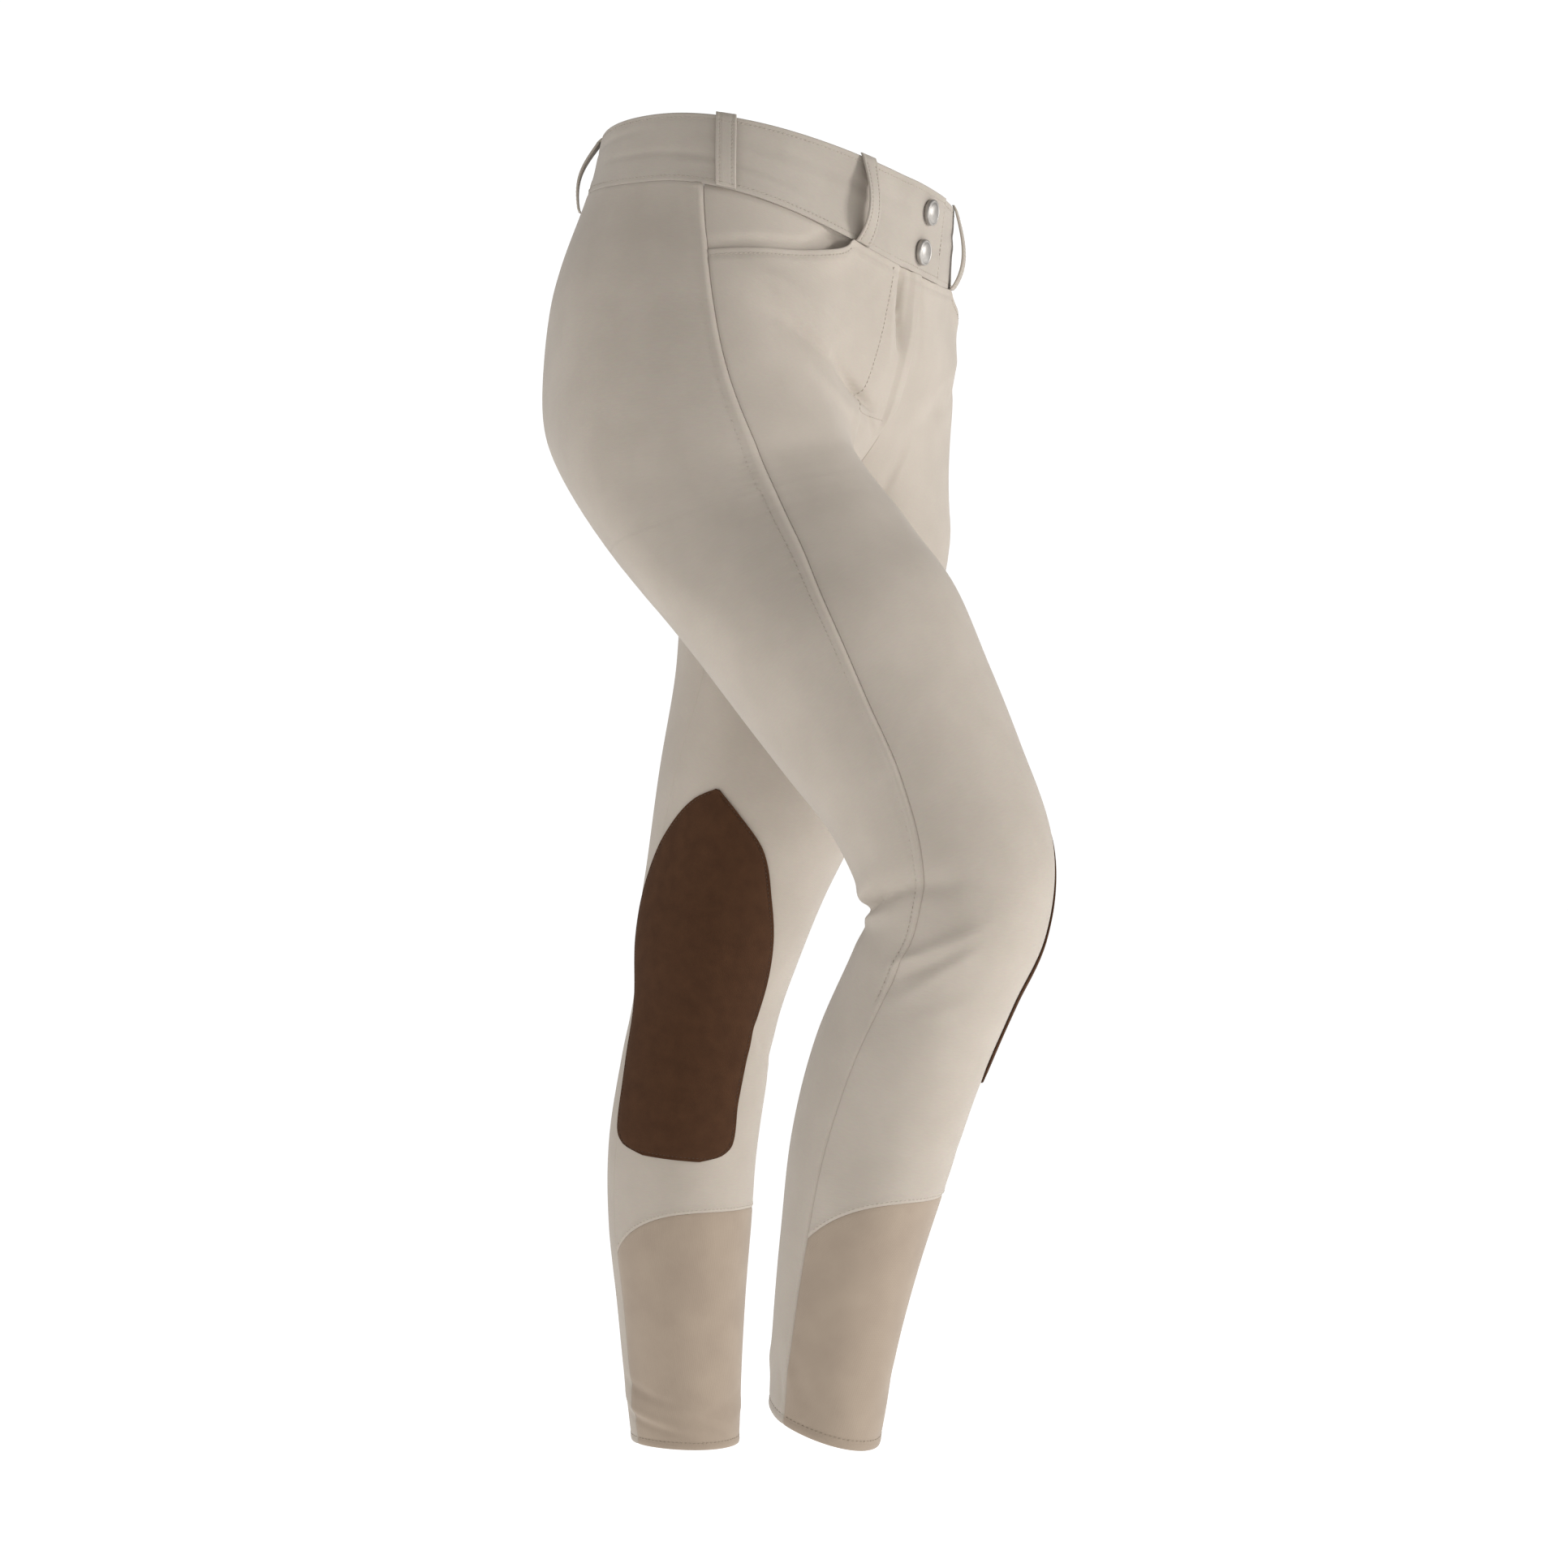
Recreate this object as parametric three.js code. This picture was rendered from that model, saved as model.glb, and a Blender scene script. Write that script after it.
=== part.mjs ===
import * as THREE from 'three';

// Riding breeches, standing open as worn, one knee a little forward.
// Millimetres, +Z up. The front faces -Y and the wearer's right is -X.
// The origin is the middle of the waist, half way up the waistband.

// Driving sizes
const CLOTH = 1.5;
const SUEDE = 1.2;
const SEAM_GAP = 0.3;
const BAND_END = 45;
const CROTCH = 270;
const HEM = 920;
const JOIN_START = 110;
const JOIN_POWER = 1.35;
const JOIN_EDGE_POWER = 3;
const JOIN_EDGE = 0.3;
const WAIST_TILT = 0.1;
const WAIST_LEAN = 8;
const TILT_LOW = -210;
const TILT_SPAN = 150;
const EASE_REACH = 160;
const EASE_EDGE = 0.16;
const EASE_STEP = 20;
const EASE_WEIGHTS = [0.05, 0.09, 0.125, 0.155, 0.16, 0.155, 0.125, 0.09, 0.05];

const RIGHT = -1;
const LEFT = 1;
const HALF_GAP = SEAM_GAP / 2;
const LAP_LIFT = CLOTH + SEAM_GAP;
const INSEAM = 0;
const SIDE_SEAM = 0.5;

// A table is a list of named columns and one row for each section
function table(columns, rows) {
  return { columns, rows };
}

function rowSlope(rows, index, column) {
  const before = rows[Math.max(index - 1, 0)];
  const after = rows[Math.min(index + 1, rows.length - 1)];
  return (after[column] - before[column]) / (after[0] - before[0]);
}

// Smooth curve through the rows of a table, read at one value of its first column
function readTable({ columns, rows }, at) {
  const last = rows.length - 1;
  const key = THREE.MathUtils.clamp(at, rows[0][0], rows[last][0]);
  let index = 0;
  while (index < last - 1 && rows[index + 1][0] <= key) {
    index += 1;
  }
  const from = rows[index];
  const to = rows[index + 1];
  const span = to[0] - from[0];
  const t = (key - from[0]) / span;
  const values = {};
  columns.forEach((name, column) => {
    const startSlope = rowSlope(rows, index, column) * span;
    const endSlope = rowSlope(rows, index + 1, column) * span;
    const leave = from[column] * (2 * t ** 3 - 3 * t ** 2 + 1) + startSlope * (t ** 3 - 2 * t ** 2 + t);
    const arrive = to[column] * (3 * t ** 2 - 2 * t ** 3) + endSlope * (t ** 3 - t ** 2);
    values[name] = leave + arrive;
  });
  return values;
}

// Rings round the body, from the waist edge down: how far down the cloth, half width, half depth
// in front and behind, fullness beside the fly on the right and left, middle, height at the side,
// how much the front and back lie above or below it, and the side seam's angle from the front
const BODY = table(
  ['down', 'halfWidth', 'front', 'back', 'right', 'left', 'midY', 'sideZ', 'frontRise', 'backRise', 'seam'],
  [
    [0, 149, 112, 96, 0.0, 0.0, 3, 8, -17, 3, 75],
    [45, 154, 108, 104, 0.1, 0.1, 6, -35, -30, 17, 73.5],
    [100, 168, 109, 117, 0.25, 0.25, 12, -83, -27, 10, 68.5],
    [150, 177, 105, 127, 0.45, 0.32, 16, -130, -18, 4, 63.7],
    [200, 180, 105, 146, 0.75, 0.2, 17, -179, 10, 2, 58.4],
    [270, 178, 98, 158, 0.75, 0.0, 12, -249, 44, 24, 41.3],
  ],
);

// Rings round each leg: middle, half width, half depth in front and behind, pitch of the
// ring, and the angles of the inseam and the side seam from the inner side
const LEG_COLUMNS = ['down', 'x', 'y', 'z', 'halfWidth', 'front', 'back', 'pitch', 'inseam', 'seam'];
const RIGHT_LEG = table(LEG_COLUMNS, [
  [270, -88, 12, -232, 88, 128, 46, 17, 0, 134.2],
  [330, -88, -32, -272, 88, 110, 47, 25, -14, 137.4],
  [390, -87, -89, -311, 83, 88, 68, 31, -22, 151.6],
  [450, -84, -121, -360, 74, 79, 63, 31, -28, 157],
  [500, -80, -146, -402, 67, 71, 57, 29, -32, 161.4],
  [550, -76, -166, -447, 60, 66, 57, 15, -35, 171],
  [590, -75, -169, -482, 55, 56, 54, -6, -36, 181],
  [630, -75, -156, -513, 53, 51, 54, -20, -36, 184],
  [690, -77, -132, -566, 54, 51, 54, -20, -36, 186],
  [750, -79, -113, -624, 51, 50, 51, -16, -36, 189],
  [810, -81, -99, -684, 44, 44, 45, -14, -36, 192],
  [860, -83, -90, -735, 39, 40, 40, -13, -36, 195],
  [920, -84, -83, -794, 35, 37, 37, -20, -30, 200],
]);
const LEFT_LEG = table(LEG_COLUMNS, [
  [270, 88, 12, -232, 88, 97, 84, -10, 0, 132],
  [330, 88, 22, -288, 86, 83, 86, -16, -14, 141],
  [390, 82, 30, -342, 79, 82, 81, -18, -22, 150],
  [450, 75, 50, -402, 71, 74, 69, -17, -28, 159],
  [500, 69, 66, -457, 61, 64, 60, -15, -32, 162],
  [550, 66, 78, -507, 55, 56, 56, -12, -35, 171],
  [590, 67, 86, -547, 51, 49, 51, -11, -36, 181],
  [630, 69, 95, -587, 50, 49, 52, -10, -36, 184],
  [690, 74, 107, -645, 50, 49, 53, -6, -36, 186],
  [750, 79, 113, -700, 48, 49, 51, -3, -36, 189],
  [810, 84, 115, -755, 43, 44, 46, -1, -36, 192],
  [860, 88, 116, -800, 39, 40, 43, 0, -36, 195],
  [920, 91, 116, -850, 36, 37, 39, -2, -30, 200],
]);

// A fold is lowest at its ends, where this share of its rise is left
const FOLD_END = 0.35;

// Folds: where each starts and ends round the half (0 front edge, 0.5 side seam, 1 back edge)
// and down the cloth, its half width and how far it rises or, below zero, sinks
const FOLD_COLUMNS = ['around', 'down', 'toAround', 'toDown', 'halfWidth', 'rise'];
const RIGHT_FOLDS = table(FOLD_COLUMNS, [
  [0.43, 114, 0.22, 130, 12, -1.8],
  [0.22, 130, 0.08, 156, 11, -2.4],
  [0.4, 92, 0.16, 122, 11, 1.6],
  [0.05, 54, 0.03, 112, 9, -1.6],
  [0.1, 175, 0.14, 240, 12, -1.6],
  [0.76, 578, 0.54, 559, 9, -5.0],
  [0.54, 559, 0.44, 562, 8, -1.6],
  [0.78, 560, 0.6, 543, 10, 2.4],
  [0.76, 597, 0.6, 580, 10, 2.2],
  [0.53, 626, 0.4, 583, 9, 1.9],
  [0.48, 640, 0.39, 596, 9, 1.6],
  [0.98, 300, 0.82, 318, 18, -0.9],
  [0.86, 872, 0.7, 884, 9, 1.0],
]);
const LEFT_FOLDS = table(FOLD_COLUMNS, [
  [0.42, 108, 0.23, 128, 12, -1.2],
  [0.23, 128, 0.12, 160, 11, -2.0],
  [0.1, 190, 0.16, 250, 12, -1.6],
  [0.8, 592, 0.58, 580, 9, -2.2],
  [0.32, 604, 0.37, 628, 8, -1.5],
  [0.98, 300, 0.82, 316, 18, -0.9],
  [0.94, 874, 0.16, 905, 7, 1.2],
  [0.02, 888, 0.2, 901, 6, -1.0],
  [0.62, 868, 0.8, 886, 9, 1.0],
]);

const LEGS = { [RIGHT]: RIGHT_LEG, [LEFT]: LEFT_LEG };
const FOLDS = { [RIGHT]: RIGHT_FOLDS, [LEFT]: LEFT_FOLDS };

function smooth(t) {
  const c = THREE.MathUtils.clamp(t, 0, 1);
  return c * c * (3 - 2 * c);
}

function mix(from, to, t) {
  return from + (to - from) * t;
}

function tiltAt(z) {
  return smooth((z - TILT_LOW) / TILT_SPAN);
}

function bodyPoint(side, around, ring) {
  const angle = around < SIDE_SEAM
    ? mix(0, ring.seam, 2 * around)
    : mix(ring.seam, 180, 2 * around - 1);
  const sine = Math.sin(THREE.MathUtils.degToRad(angle));
  const cosine = Math.cos(THREE.MathUtils.degToRad(angle));
  const facing = cosine > 0;
  const full = side === RIGHT ? ring.right : ring.left;
  const halfDepth = facing ? ring.front * (1 + full * sine * sine) : ring.back;
  const rise = facing ? ring.frontRise : ring.backRise;
  return new THREE.Vector3(
    side * ring.halfWidth * sine,
    ring.midY - halfDepth * cosine,
    ring.sideZ + rise * cosine * cosine,
  );
}

function legPoint(side, around, ring) {
  const angle = around < SIDE_SEAM
    ? mix(ring.inseam, ring.seam, 2 * around)
    : mix(ring.seam, 360 + ring.inseam, 2 * around - 1);
  const sine = Math.sin(THREE.MathUtils.degToRad(angle));
  const cosine = Math.cos(THREE.MathUtils.degToRad(angle));
  const reach = sine * (sine > 0 ? ring.front : ring.back);
  const pitch = THREE.MathUtils.degToRad(ring.pitch);
  return new THREE.Vector3(
    ring.x - side * ring.halfWidth * cosine,
    ring.y - reach * Math.cos(pitch),
    ring.z + reach * Math.sin(pitch),
  );
}

// The plain worn surface of one half. Above the crotch the body rings turn into the leg's first
// ring, so the front and back edges curve down to meet at the crotch point.
function joinedPoint(side, around, down) {
  const leg = legPoint(side, around, readTable(LEGS[side], Math.max(down, CROTCH)));
  const body = bodyPoint(side, around, readTable(BODY, down));
  const t = THREE.MathUtils.clamp((down - JOIN_START) / (CROTCH - JOIN_START), 0, 1);
  const edge = 1 - smooth(Math.min(around, 1 - around) / JOIN_EDGE);
  const point = body.lerp(leg, t ** mix(JOIN_POWER, JOIN_EDGE_POWER, edge));
  const tilt = tiltAt(point.z);
  point.z -= WAIST_TILT * tilt * point.x;
  point.x += WAIST_LEAN * tilt;
  return point;
}

// The same surface with the turn from body to leg eased along the cloth, but not at its edges
function plainPoint(side, around, down) {
  const near = smooth(1 - Math.abs(down - CROTCH) / EASE_REACH);
  const inside = smooth(Math.min(around, 1 - around) / EASE_EDGE);
  const step = EASE_STEP * near * inside;
  if (step === 0) {
    return joinedPoint(side, around, down);
  }
  const point = new THREE.Vector3();
  EASE_WEIGHTS.forEach((weight, index) => {
    const offset = step * (index - (EASE_WEIGHTS.length - 1) / 2);
    point.addScaledVector(joinedPoint(side, around, down + offset), weight);
  });
  return point;
}

// Girth of one half or one leg, near enough for the width of a fold
function girth(side, down) {
  if (down < CROTCH) {
    const ring = readTable(BODY, down);
    return Math.PI * (ring.halfWidth + (ring.front + ring.back) / 2) / 2;
  }
  const ring = readTable(LEGS[side], down);
  return Math.PI * (ring.halfWidth + (ring.front + ring.back) / 2);
}

function foldRise(side, around, down) {
  const { columns, rows } = FOLDS[side];
  const width = girth(side, down);
  let total = 0;
  rows.forEach((row) => {
    const fold = Object.fromEntries(columns.map((name, index) => [name, row[index]]));
    const wrap = fold.around - fold.toAround > SIDE_SEAM ? 1 : 0;
    const home = wrap && around > SIDE_SEAM ? around - 1 : around;
    const start = fold.around - wrap;
    const run = new THREE.Vector2((fold.toAround - start) * width, fold.toDown - fold.down);
    const here = new THREE.Vector2((home - start) * width, down - fold.down);
    const t = THREE.MathUtils.clamp(here.dot(run) / run.lengthSq(), 0, 1);
    const away = here.addScaledVector(run, -t).length() / fold.halfWidth;
    total += fold.rise * Math.exp(-away * away) * mix(FOLD_END, 1, Math.sin(Math.PI * t));
  });
  return total;
}

// Steps over which a direction is taken, and the one used where the halves meet under the crotch
const STEP_AROUND = 0.008;
const STEP_DOWN = 4;
const CROTCH_FALL = -0.6;
const BLUNT_LENGTH = 0.5;

// Direction round the ring, down the cloth and out of it at one place
function directions(side, around, down) {
  const ring = down >= CROTCH;
  const ahead = around + STEP_AROUND;
  const behind = around - STEP_AROUND;
  const from = ring ? (behind + 1) % 1 : Math.max(behind, 0);
  const to = ring ? ahead % 1 : Math.min(ahead, 1);
  const acrossWay = plainPoint(side, to, down).sub(plainPoint(side, from, down)).normalize();
  const downWay = plainPoint(side, around, Math.min(down + STEP_DOWN, HEM));
  downWay.sub(plainPoint(side, around, Math.max(down - STEP_DOWN, 0))).normalize();
  const out = new THREE.Vector3().crossVectors(downWay, acrossWay).multiplyScalar(side);
  const crotchOut = new THREE.Vector3(-side, 0, CROTCH_FALL).normalize();
  const blunt = 1 - smooth(out.length() / BLUNT_LENGTH);
  out.normalize().lerp(crotchOut, blunt).normalize();
  return { acrossWay, downWay, out };
}

// A place on the cloth. lift is outwards, slideAround and slideDown are trims along the cloth.
function clothPoint(side, around, down, lift = 0, slideAround = 0, slideDown = 0) {
  const { acrossWay, downWay, out } = directions(side, around, down);
  return plainPoint(side, around, down)
    .addScaledVector(out, lift + foldRise(side, around, down))
    .addScaledVector(acrossWay, slideAround)
    .addScaledVector(downWay, slideDown);
}

// The halves stay on their own sides of the middle seam
function keepOnSide(side, point) {
  const middle = WAIST_LEAN * tiltAt(point.z);
  point.x = middle + side * Math.max(side * (point.x - middle), HALF_GAP);
  return point;
}

// A closed wall from a grid of places: place(column, row, depth) gives the outer face at depth 0
// and the inner face at depth 1
function wall(columnCount, rowCount, place) {
  const positions = [];
  const indices = [];
  const across = columnCount + 1;
  const layer = across * (rowCount + 1);
  [0, 1].forEach((depth) => {
    for (let row = 0; row <= rowCount; row += 1) {
      for (let column = 0; column <= columnCount; column += 1) {
        const { x, y, z } = place(column, row, depth);
        positions.push(x, y, z);
      }
    }
  });
  const at = (column, row, depth) => depth * layer + row * across + column;
  const quad = (a, b, c, d) => indices.push(a, b, c, a, c, d);
  const end = columnCount;
  const foot = rowCount;
  for (let row = 0; row < rowCount; row += 1) {
    const next = row + 1;
    for (let column = 0; column < columnCount; column += 1) {
      const beside = column + 1;
      quad(at(column, row, 0), at(column, next, 0), at(beside, next, 0), at(beside, row, 0));
      quad(at(column, row, 1), at(beside, row, 1), at(beside, next, 1), at(column, next, 1));
    }
    quad(at(0, row, 0), at(0, row, 1), at(0, next, 1), at(0, next, 0));
    quad(at(end, row, 0), at(end, next, 0), at(end, next, 1), at(end, row, 1));
  }
  for (let column = 0; column < columnCount; column += 1) {
    const beside = column + 1;
    quad(at(column, 0, 0), at(beside, 0, 0), at(beside, 0, 1), at(column, 0, 1));
    quad(at(column, foot, 0), at(column, foot, 1), at(beside, foot, 1), at(beside, foot, 0));
  }
  const geometry = new THREE.BufferGeometry();
  geometry.setAttribute('position', new THREE.Float32BufferAttribute(positions, 3));
  geometry.setIndex(facesOut(positions, indices));
  geometry.computeVertexNormals();
  return geometry;
}

// Turns every face over when the closed mesh is inside out
function facesOut(positions, indices) {
  let volume = 0;
  const corner = (index) => new THREE.Vector3().fromArray(positions, 3 * index);
  for (let i = 0; i < indices.length; i += 3) {
    const [a, b, c] = [corner(indices[i]), corner(indices[i + 1]), corner(indices[i + 2])];
    volume += a.dot(b.cross(c));
  }
  return volume > 0 ? indices : indices.reverse();
}

function spread(from, to, steps) {
  return Array.from({ length: steps + 1 }, (_, index) => mix(from, to, index / steps));
}

// Joins spans of evenly spaced values: each span is where it ends and how many steps it has
function spans(start, list) {
  const values = [start];
  list.forEach(([to, steps]) => {
    values.push(...spread(values[values.length - 1], to, steps).slice(1));
  });
  return values;
}

// Pocket mouth: a scoop from the waist seam, level at first and deepest at the side seam
const MOUTH_START = 0.19;
const MOUTH_DEPTH = 47;
const MOUTH_CURVE = 0.62;
const MOUTH_GAPE = 2.2;
const GAPE_AT = 0.235;
const GAPE_WIDTH = 0.05;
const GAPE_ROWS = 2;

// Pocket facing: the cloth that shows behind the mouth, tucked a little below its edge
const FACING_START = 0.15;
const FACING_TUCK = 12;
const FACING_LIFT = -(CLOTH + 0.5);
const FACING_ROWS = 4;

function mouthDown(around) {
  const t = THREE.MathUtils.clamp((around - MOUTH_START) / (SIDE_SEAM - MOUTH_START), 0, 1);
  return BAND_END + MOUTH_DEPTH * t ** MOUTH_CURVE;
}

// Sock seam: an arch over the front of the shin that drops to the inseam and the side seam
const SOCK_TOP = { [RIGHT]: 763, [LEFT]: 730 };
const SOCK_DROP = 38;
const SOCK_MIDDLE = 0.25;

function sockDown(side, around) {
  const t = Math.abs(around - SOCK_MIDDLE) / SOCK_MIDDLE;
  return SOCK_TOP[side] + SOCK_DROP * t ** 3;
}

// Rows and columns of the panels
const MOUTH_ZONE = 130;
const SHIN = 700;
const UPPER_SPANS = [[MOUTH_ZONE, 5], [250, 7], [290, 3], [440, 5], [500, 4], [620, 11], [SHIN, 3]];
const UPPER_ROWS = spans(BAND_END, UPPER_SPANS);
const SOCK_STEPS = 3;
const BACK_ROWS = spans(BAND_END, [...UPPER_SPANS, [760, 2], [HEM, 6]]);
const SOCK_ROW_COUNT = 6;
const FLY_EDGE = 0.009;
const FRONT_SPANS = [[FLY_EDGE, 1], [0.16, 5], [MOUTH_START, 1], [0.25, 2], [SIDE_SEAM, 6]];
const FRONT_COLUMNS = spans(INSEAM, FRONT_SPANS);
const BACK_COLUMNS = spread(SIDE_SEAM, 1, 11);

// Fly: the right front laps over the left from the waist seam to its foot
const FLY_LAP = 5;
const FLY_LIFT = CLOTH + 0.5;
const FLY_FOOT = 185;
const FLY_RISE = 20;
const FLY_SLOPE = 15;

function flyLift(down) {
  return FLY_LIFT * smooth((FLY_FOOT - down) / FLY_RISE);
}

function flyLap(down) {
  return FLY_LAP * smooth((FLY_FOOT - FLY_RISE - down) / FLY_SLOPE);
}

const FACE_LIFT = [0, -CLOTH];

function trim(index, count) {
  if (index === 0) {
    return HALF_GAP;
  }
  return index === count ? -HALF_GAP : 0;
}

function frontPanel(side) {
  const rowCount = UPPER_ROWS.length - 1 + SOCK_STEPS;
  const columnCount = FRONT_COLUMNS.length - 1;
  const downAt = (around, row) => {
    if (row >= UPPER_ROWS.length) {
      return mix(SHIN, sockDown(side, around), (row - UPPER_ROWS.length + 1) / SOCK_STEPS);
    }
    const down = UPPER_ROWS[row];
    const t = THREE.MathUtils.clamp((down - BAND_END) / (MOUTH_ZONE - BAND_END), 0, 1);
    return down < MOUTH_ZONE ? mix(mouthDown(around), MOUTH_ZONE, t) : down;
  };
  return wall(columnCount, rowCount, (column, row, depth) => {
    const around = FRONT_COLUMNS[column];
    const down = downAt(around, row);
    const besideGape = (around - GAPE_AT) / GAPE_WIDTH;
    const mouth = Math.exp(-(besideGape ** 2)) * Math.max(1 - row / GAPE_ROWS, 0);
    const lifts = side === RIGHT && around <= FLY_EDGE;
    const lift = FACE_LIFT[depth] + MOUTH_GAPE * mouth + (lifts ? flyLift(down) : 0);
    const point = clothPoint(side, around, down, lift, trim(column, columnCount), trim(row, rowCount));
    keepOnSide(side, point);
    const lap = lifts && column === 0 ? flyLap(down) : 0;
    point.z -= WAIST_TILT * tiltAt(point.z) * lap;
    point.x += lap;
    return point;
  });
}

function backPanel(side) {
  const rowCount = BACK_ROWS.length - 1;
  const columnCount = BACK_COLUMNS.length - 1;
  return wall(columnCount, rowCount, (column, row, depth) => {
    const slide = row === 0 ? HALF_GAP : 0;
    const around = BACK_COLUMNS[column];
    const slideAround = trim(column, columnCount);
    const point = clothPoint(side, around, BACK_ROWS[row], FACE_LIFT[depth], slideAround, slide);
    return keepOnSide(side, point);
  });
}

function sockPanel(side) {
  const columnCount = FRONT_COLUMNS.length - 1;
  return wall(columnCount, SOCK_ROW_COUNT, (column, row, depth) => {
    const around = FRONT_COLUMNS[column];
    const down = mix(sockDown(side, around), HEM, row / SOCK_ROW_COUNT);
    const slide = row === 0 ? HALF_GAP : 0;
    return clothPoint(side, around, down, FACE_LIFT[depth], trim(column, columnCount), slide);
  });
}

function pocketFacing(side) {
  const columns = FRONT_COLUMNS.filter((around) => around >= FACING_START);
  const columnCount = columns.length - 1;
  return wall(columnCount, FACING_ROWS, (column, row, depth) => {
    const around = columns[column];
    const down = mix(BAND_END, mouthDown(around) + FACING_TUCK, row / FACING_ROWS);
    const slideAround = column === columnCount ? -HALF_GAP : 0;
    const slideDown = row === 0 ? HALF_GAP : 0;
    return clothPoint(side, around, down, FACING_LIFT + FACE_LIFT[depth], slideAround, slideDown);
  });
}

// Waistband: each half runs from centre front to centre back, and the right one carries the tab
const BAND_ROWS = 3;
const TAB_REACH = 0.085;
const TAB_FLAT = 0.02;
const TAB_RISE = 0.06;

function bandHalf(side) {
  const halfColumns = [...FRONT_COLUMNS, ...BACK_COLUMNS.slice(1)];
  const tabColumns = side === RIGHT ? [TAB_REACH, TAB_REACH / 2] : [];
  const places = [
    ...tabColumns.map((around) => ({ half: LEFT, around, tab: true })),
    ...halfColumns.map((around) => ({ half: side, around, tab: false })),
  ];
  const columnCount = places.length - 1;
  return wall(columnCount, BAND_ROWS, (column, row, depth) => {
    const { half, around, tab } = places[column];
    const down = BAND_END * row / BAND_ROWS;
    const rise = side === RIGHT ? LAP_LIFT * (1 - smooth((around - TAB_FLAT) / TAB_RISE)) : 0;
    const lift = FACE_LIFT[depth] + (tab ? LAP_LIFT : rise);
    const slide = row === BAND_ROWS ? -HALF_GAP : 0;
    const point = clothPoint(half, around, down, lift, 0, slide);
    return tab ? point : keepOnSide(side, point);
  });
}

// Knee patch: the edges round the leg at each height, from the pointed top to the square foot
const PATCH = table(
  ['down', 'rear', 'fore'],
  [
    [444, 0.084, 0.09],
    [454, 0.055, 0.125],
    [472, 0.022, 0.178],
    [500, -0.02, 0.218],
    [530, -0.048, 0.247],
    [562, -0.045, 0.258],
    [600, -0.02, 0.245],
    [645, -0.008, 0.236],
    [676, 0.0, 0.237],
    [686, 0.022, 0.216],
    [691, 0.07, 0.175],
  ],
);
const PATCH_LIFT = 0.8;
const PATCH_TURN = { [RIGHT]: [-0.03, 0.014], [LEFT]: [0, 0] };
const PATCH_TURN_FROM = 560;
const PATCH_TURN_SPAN = 60;
const PATCH_COLUMNS = 12;
const PATCH_ROWS = spans(444, [[454, 2], [472, 2], [676, 20], [686, 2], [691, 3]]);

function kneePatch(side) {
  const rowCount = PATCH_ROWS.length - 1;
  return wall(PATCH_COLUMNS, rowCount, (column, row, depth) => {
    const down = PATCH_ROWS[row];
    const { rear, fore } = readTable(PATCH, down);
    const [above, below] = PATCH_TURN[side];
    const turn = mix(above, below, smooth((down - PATCH_TURN_FROM) / PATCH_TURN_SPAN));
    const around = mix(rear, fore, column / PATCH_COLUMNS) + turn;
    const lift = PATCH_LIFT + SUEDE * (1 - depth);
    return clothPoint(side, (around + 1) % 1, down, lift);
  });
}

// Belt loops: narrow strips over the band, standing off it most a little below the middle. The
// foot is how far down the cloth a loop is caught.
const LOOP_WIDTH = 13;
const LOOP_CLOTH = 1.8;
const LOOP_STEPS = 10;
const LOOP_TOP = 0.5;
const BULGE_LOW = 1.25;
const BULGE_SQUARE = 0.8;
const LOOPS = {
  front: { right: 0.165, left: 0.19, standOff: 7.2, foot: BAND_END },
  side: { right: 0.455, left: 0.455, standOff: 3.8, foot: BAND_END },
  back: { right: 0.81, left: 0.81, standOff: 7, foot: 57 },
};
const LOOP_SEAT = 0.8;

function beltLoop(side, around, { standOff, foot }) {
  return wall(2, LOOP_STEPS, (column, row, depth) => {
    const t = row / LOOP_STEPS;
    const down = mix(LOOP_TOP, foot, t);
    const bulge = Math.sin(Math.PI * t ** BULGE_LOW) ** BULGE_SQUARE;
    const away = row === 0 || row === LOOP_STEPS ? 0 : standOff * bulge;
    const lift = LOOP_SEAT + away + LOOP_CLOTH * (1 - depth);
    const slide = LOOP_WIDTH * (column / 2 - 0.5);
    return clothPoint(side, around, down, lift, slide);
  });
}

// Snap caps: domed metal discs with a rolled rim, one above the other on the tab
const SNAP_RADIUS = 8.4;
const SNAP_SIDES = 28;
const SNAP_SEAT = LAP_LIFT + SEAM_GAP;
const SNAPS = table(['around', 'down'], [[0.012, 12], [0.0, 32.5]]);
const SNAP_NAMES = ['snap_upper', 'snap_lower'];

// Section of a cap from the foot of its rim over the roll to the middle
const SNAP_SECTION = table(['radius', 'height'], [
  [0, 0],
  [7.4, 0],
  [8.1, 0.4],
  [SNAP_RADIUS, 1.2],
  [SNAP_RADIUS, 2.4],
  [8.0, 3.3],
  [7.3, 3.6],
  [6.7, 3.5],
  [5.9, 3.9],
  [3.6, 4.7],
  [0, 5.0],
]);

function snapCap() {
  const section = SNAP_SECTION.rows.map(([radius, height]) => new THREE.Vector2(radius, height));
  return new THREE.LatheGeometry(section, SNAP_SIDES);
}

function placedSnap(name, around, down) {
  const mesh = piece(name, snapCap(), SNAP_METAL);
  const { out } = directions(LEFT, around, down);
  mesh.position.copy(plainPoint(LEFT, around, down)).addScaledVector(out, SNAP_SEAT);
  mesh.quaternion.setFromUnitVectors(new THREE.Vector3(0, 1, 0), out);
  return mesh;
}

// Finishes
const MAIN_CLOTH = { color: 0xb3a899, roughness: 0.85, metalness: 0 };
const SOCK_KNIT = { color: 0xa4957f, roughness: 0.9, metalness: 0 };
const PATCH_SUEDE = { color: 0x4a3020, roughness: 0.95, metalness: 0 };
const SNAP_METAL = { color: 0xc9c5bf, roughness: 0.35, metalness: 0.9 };

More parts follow.
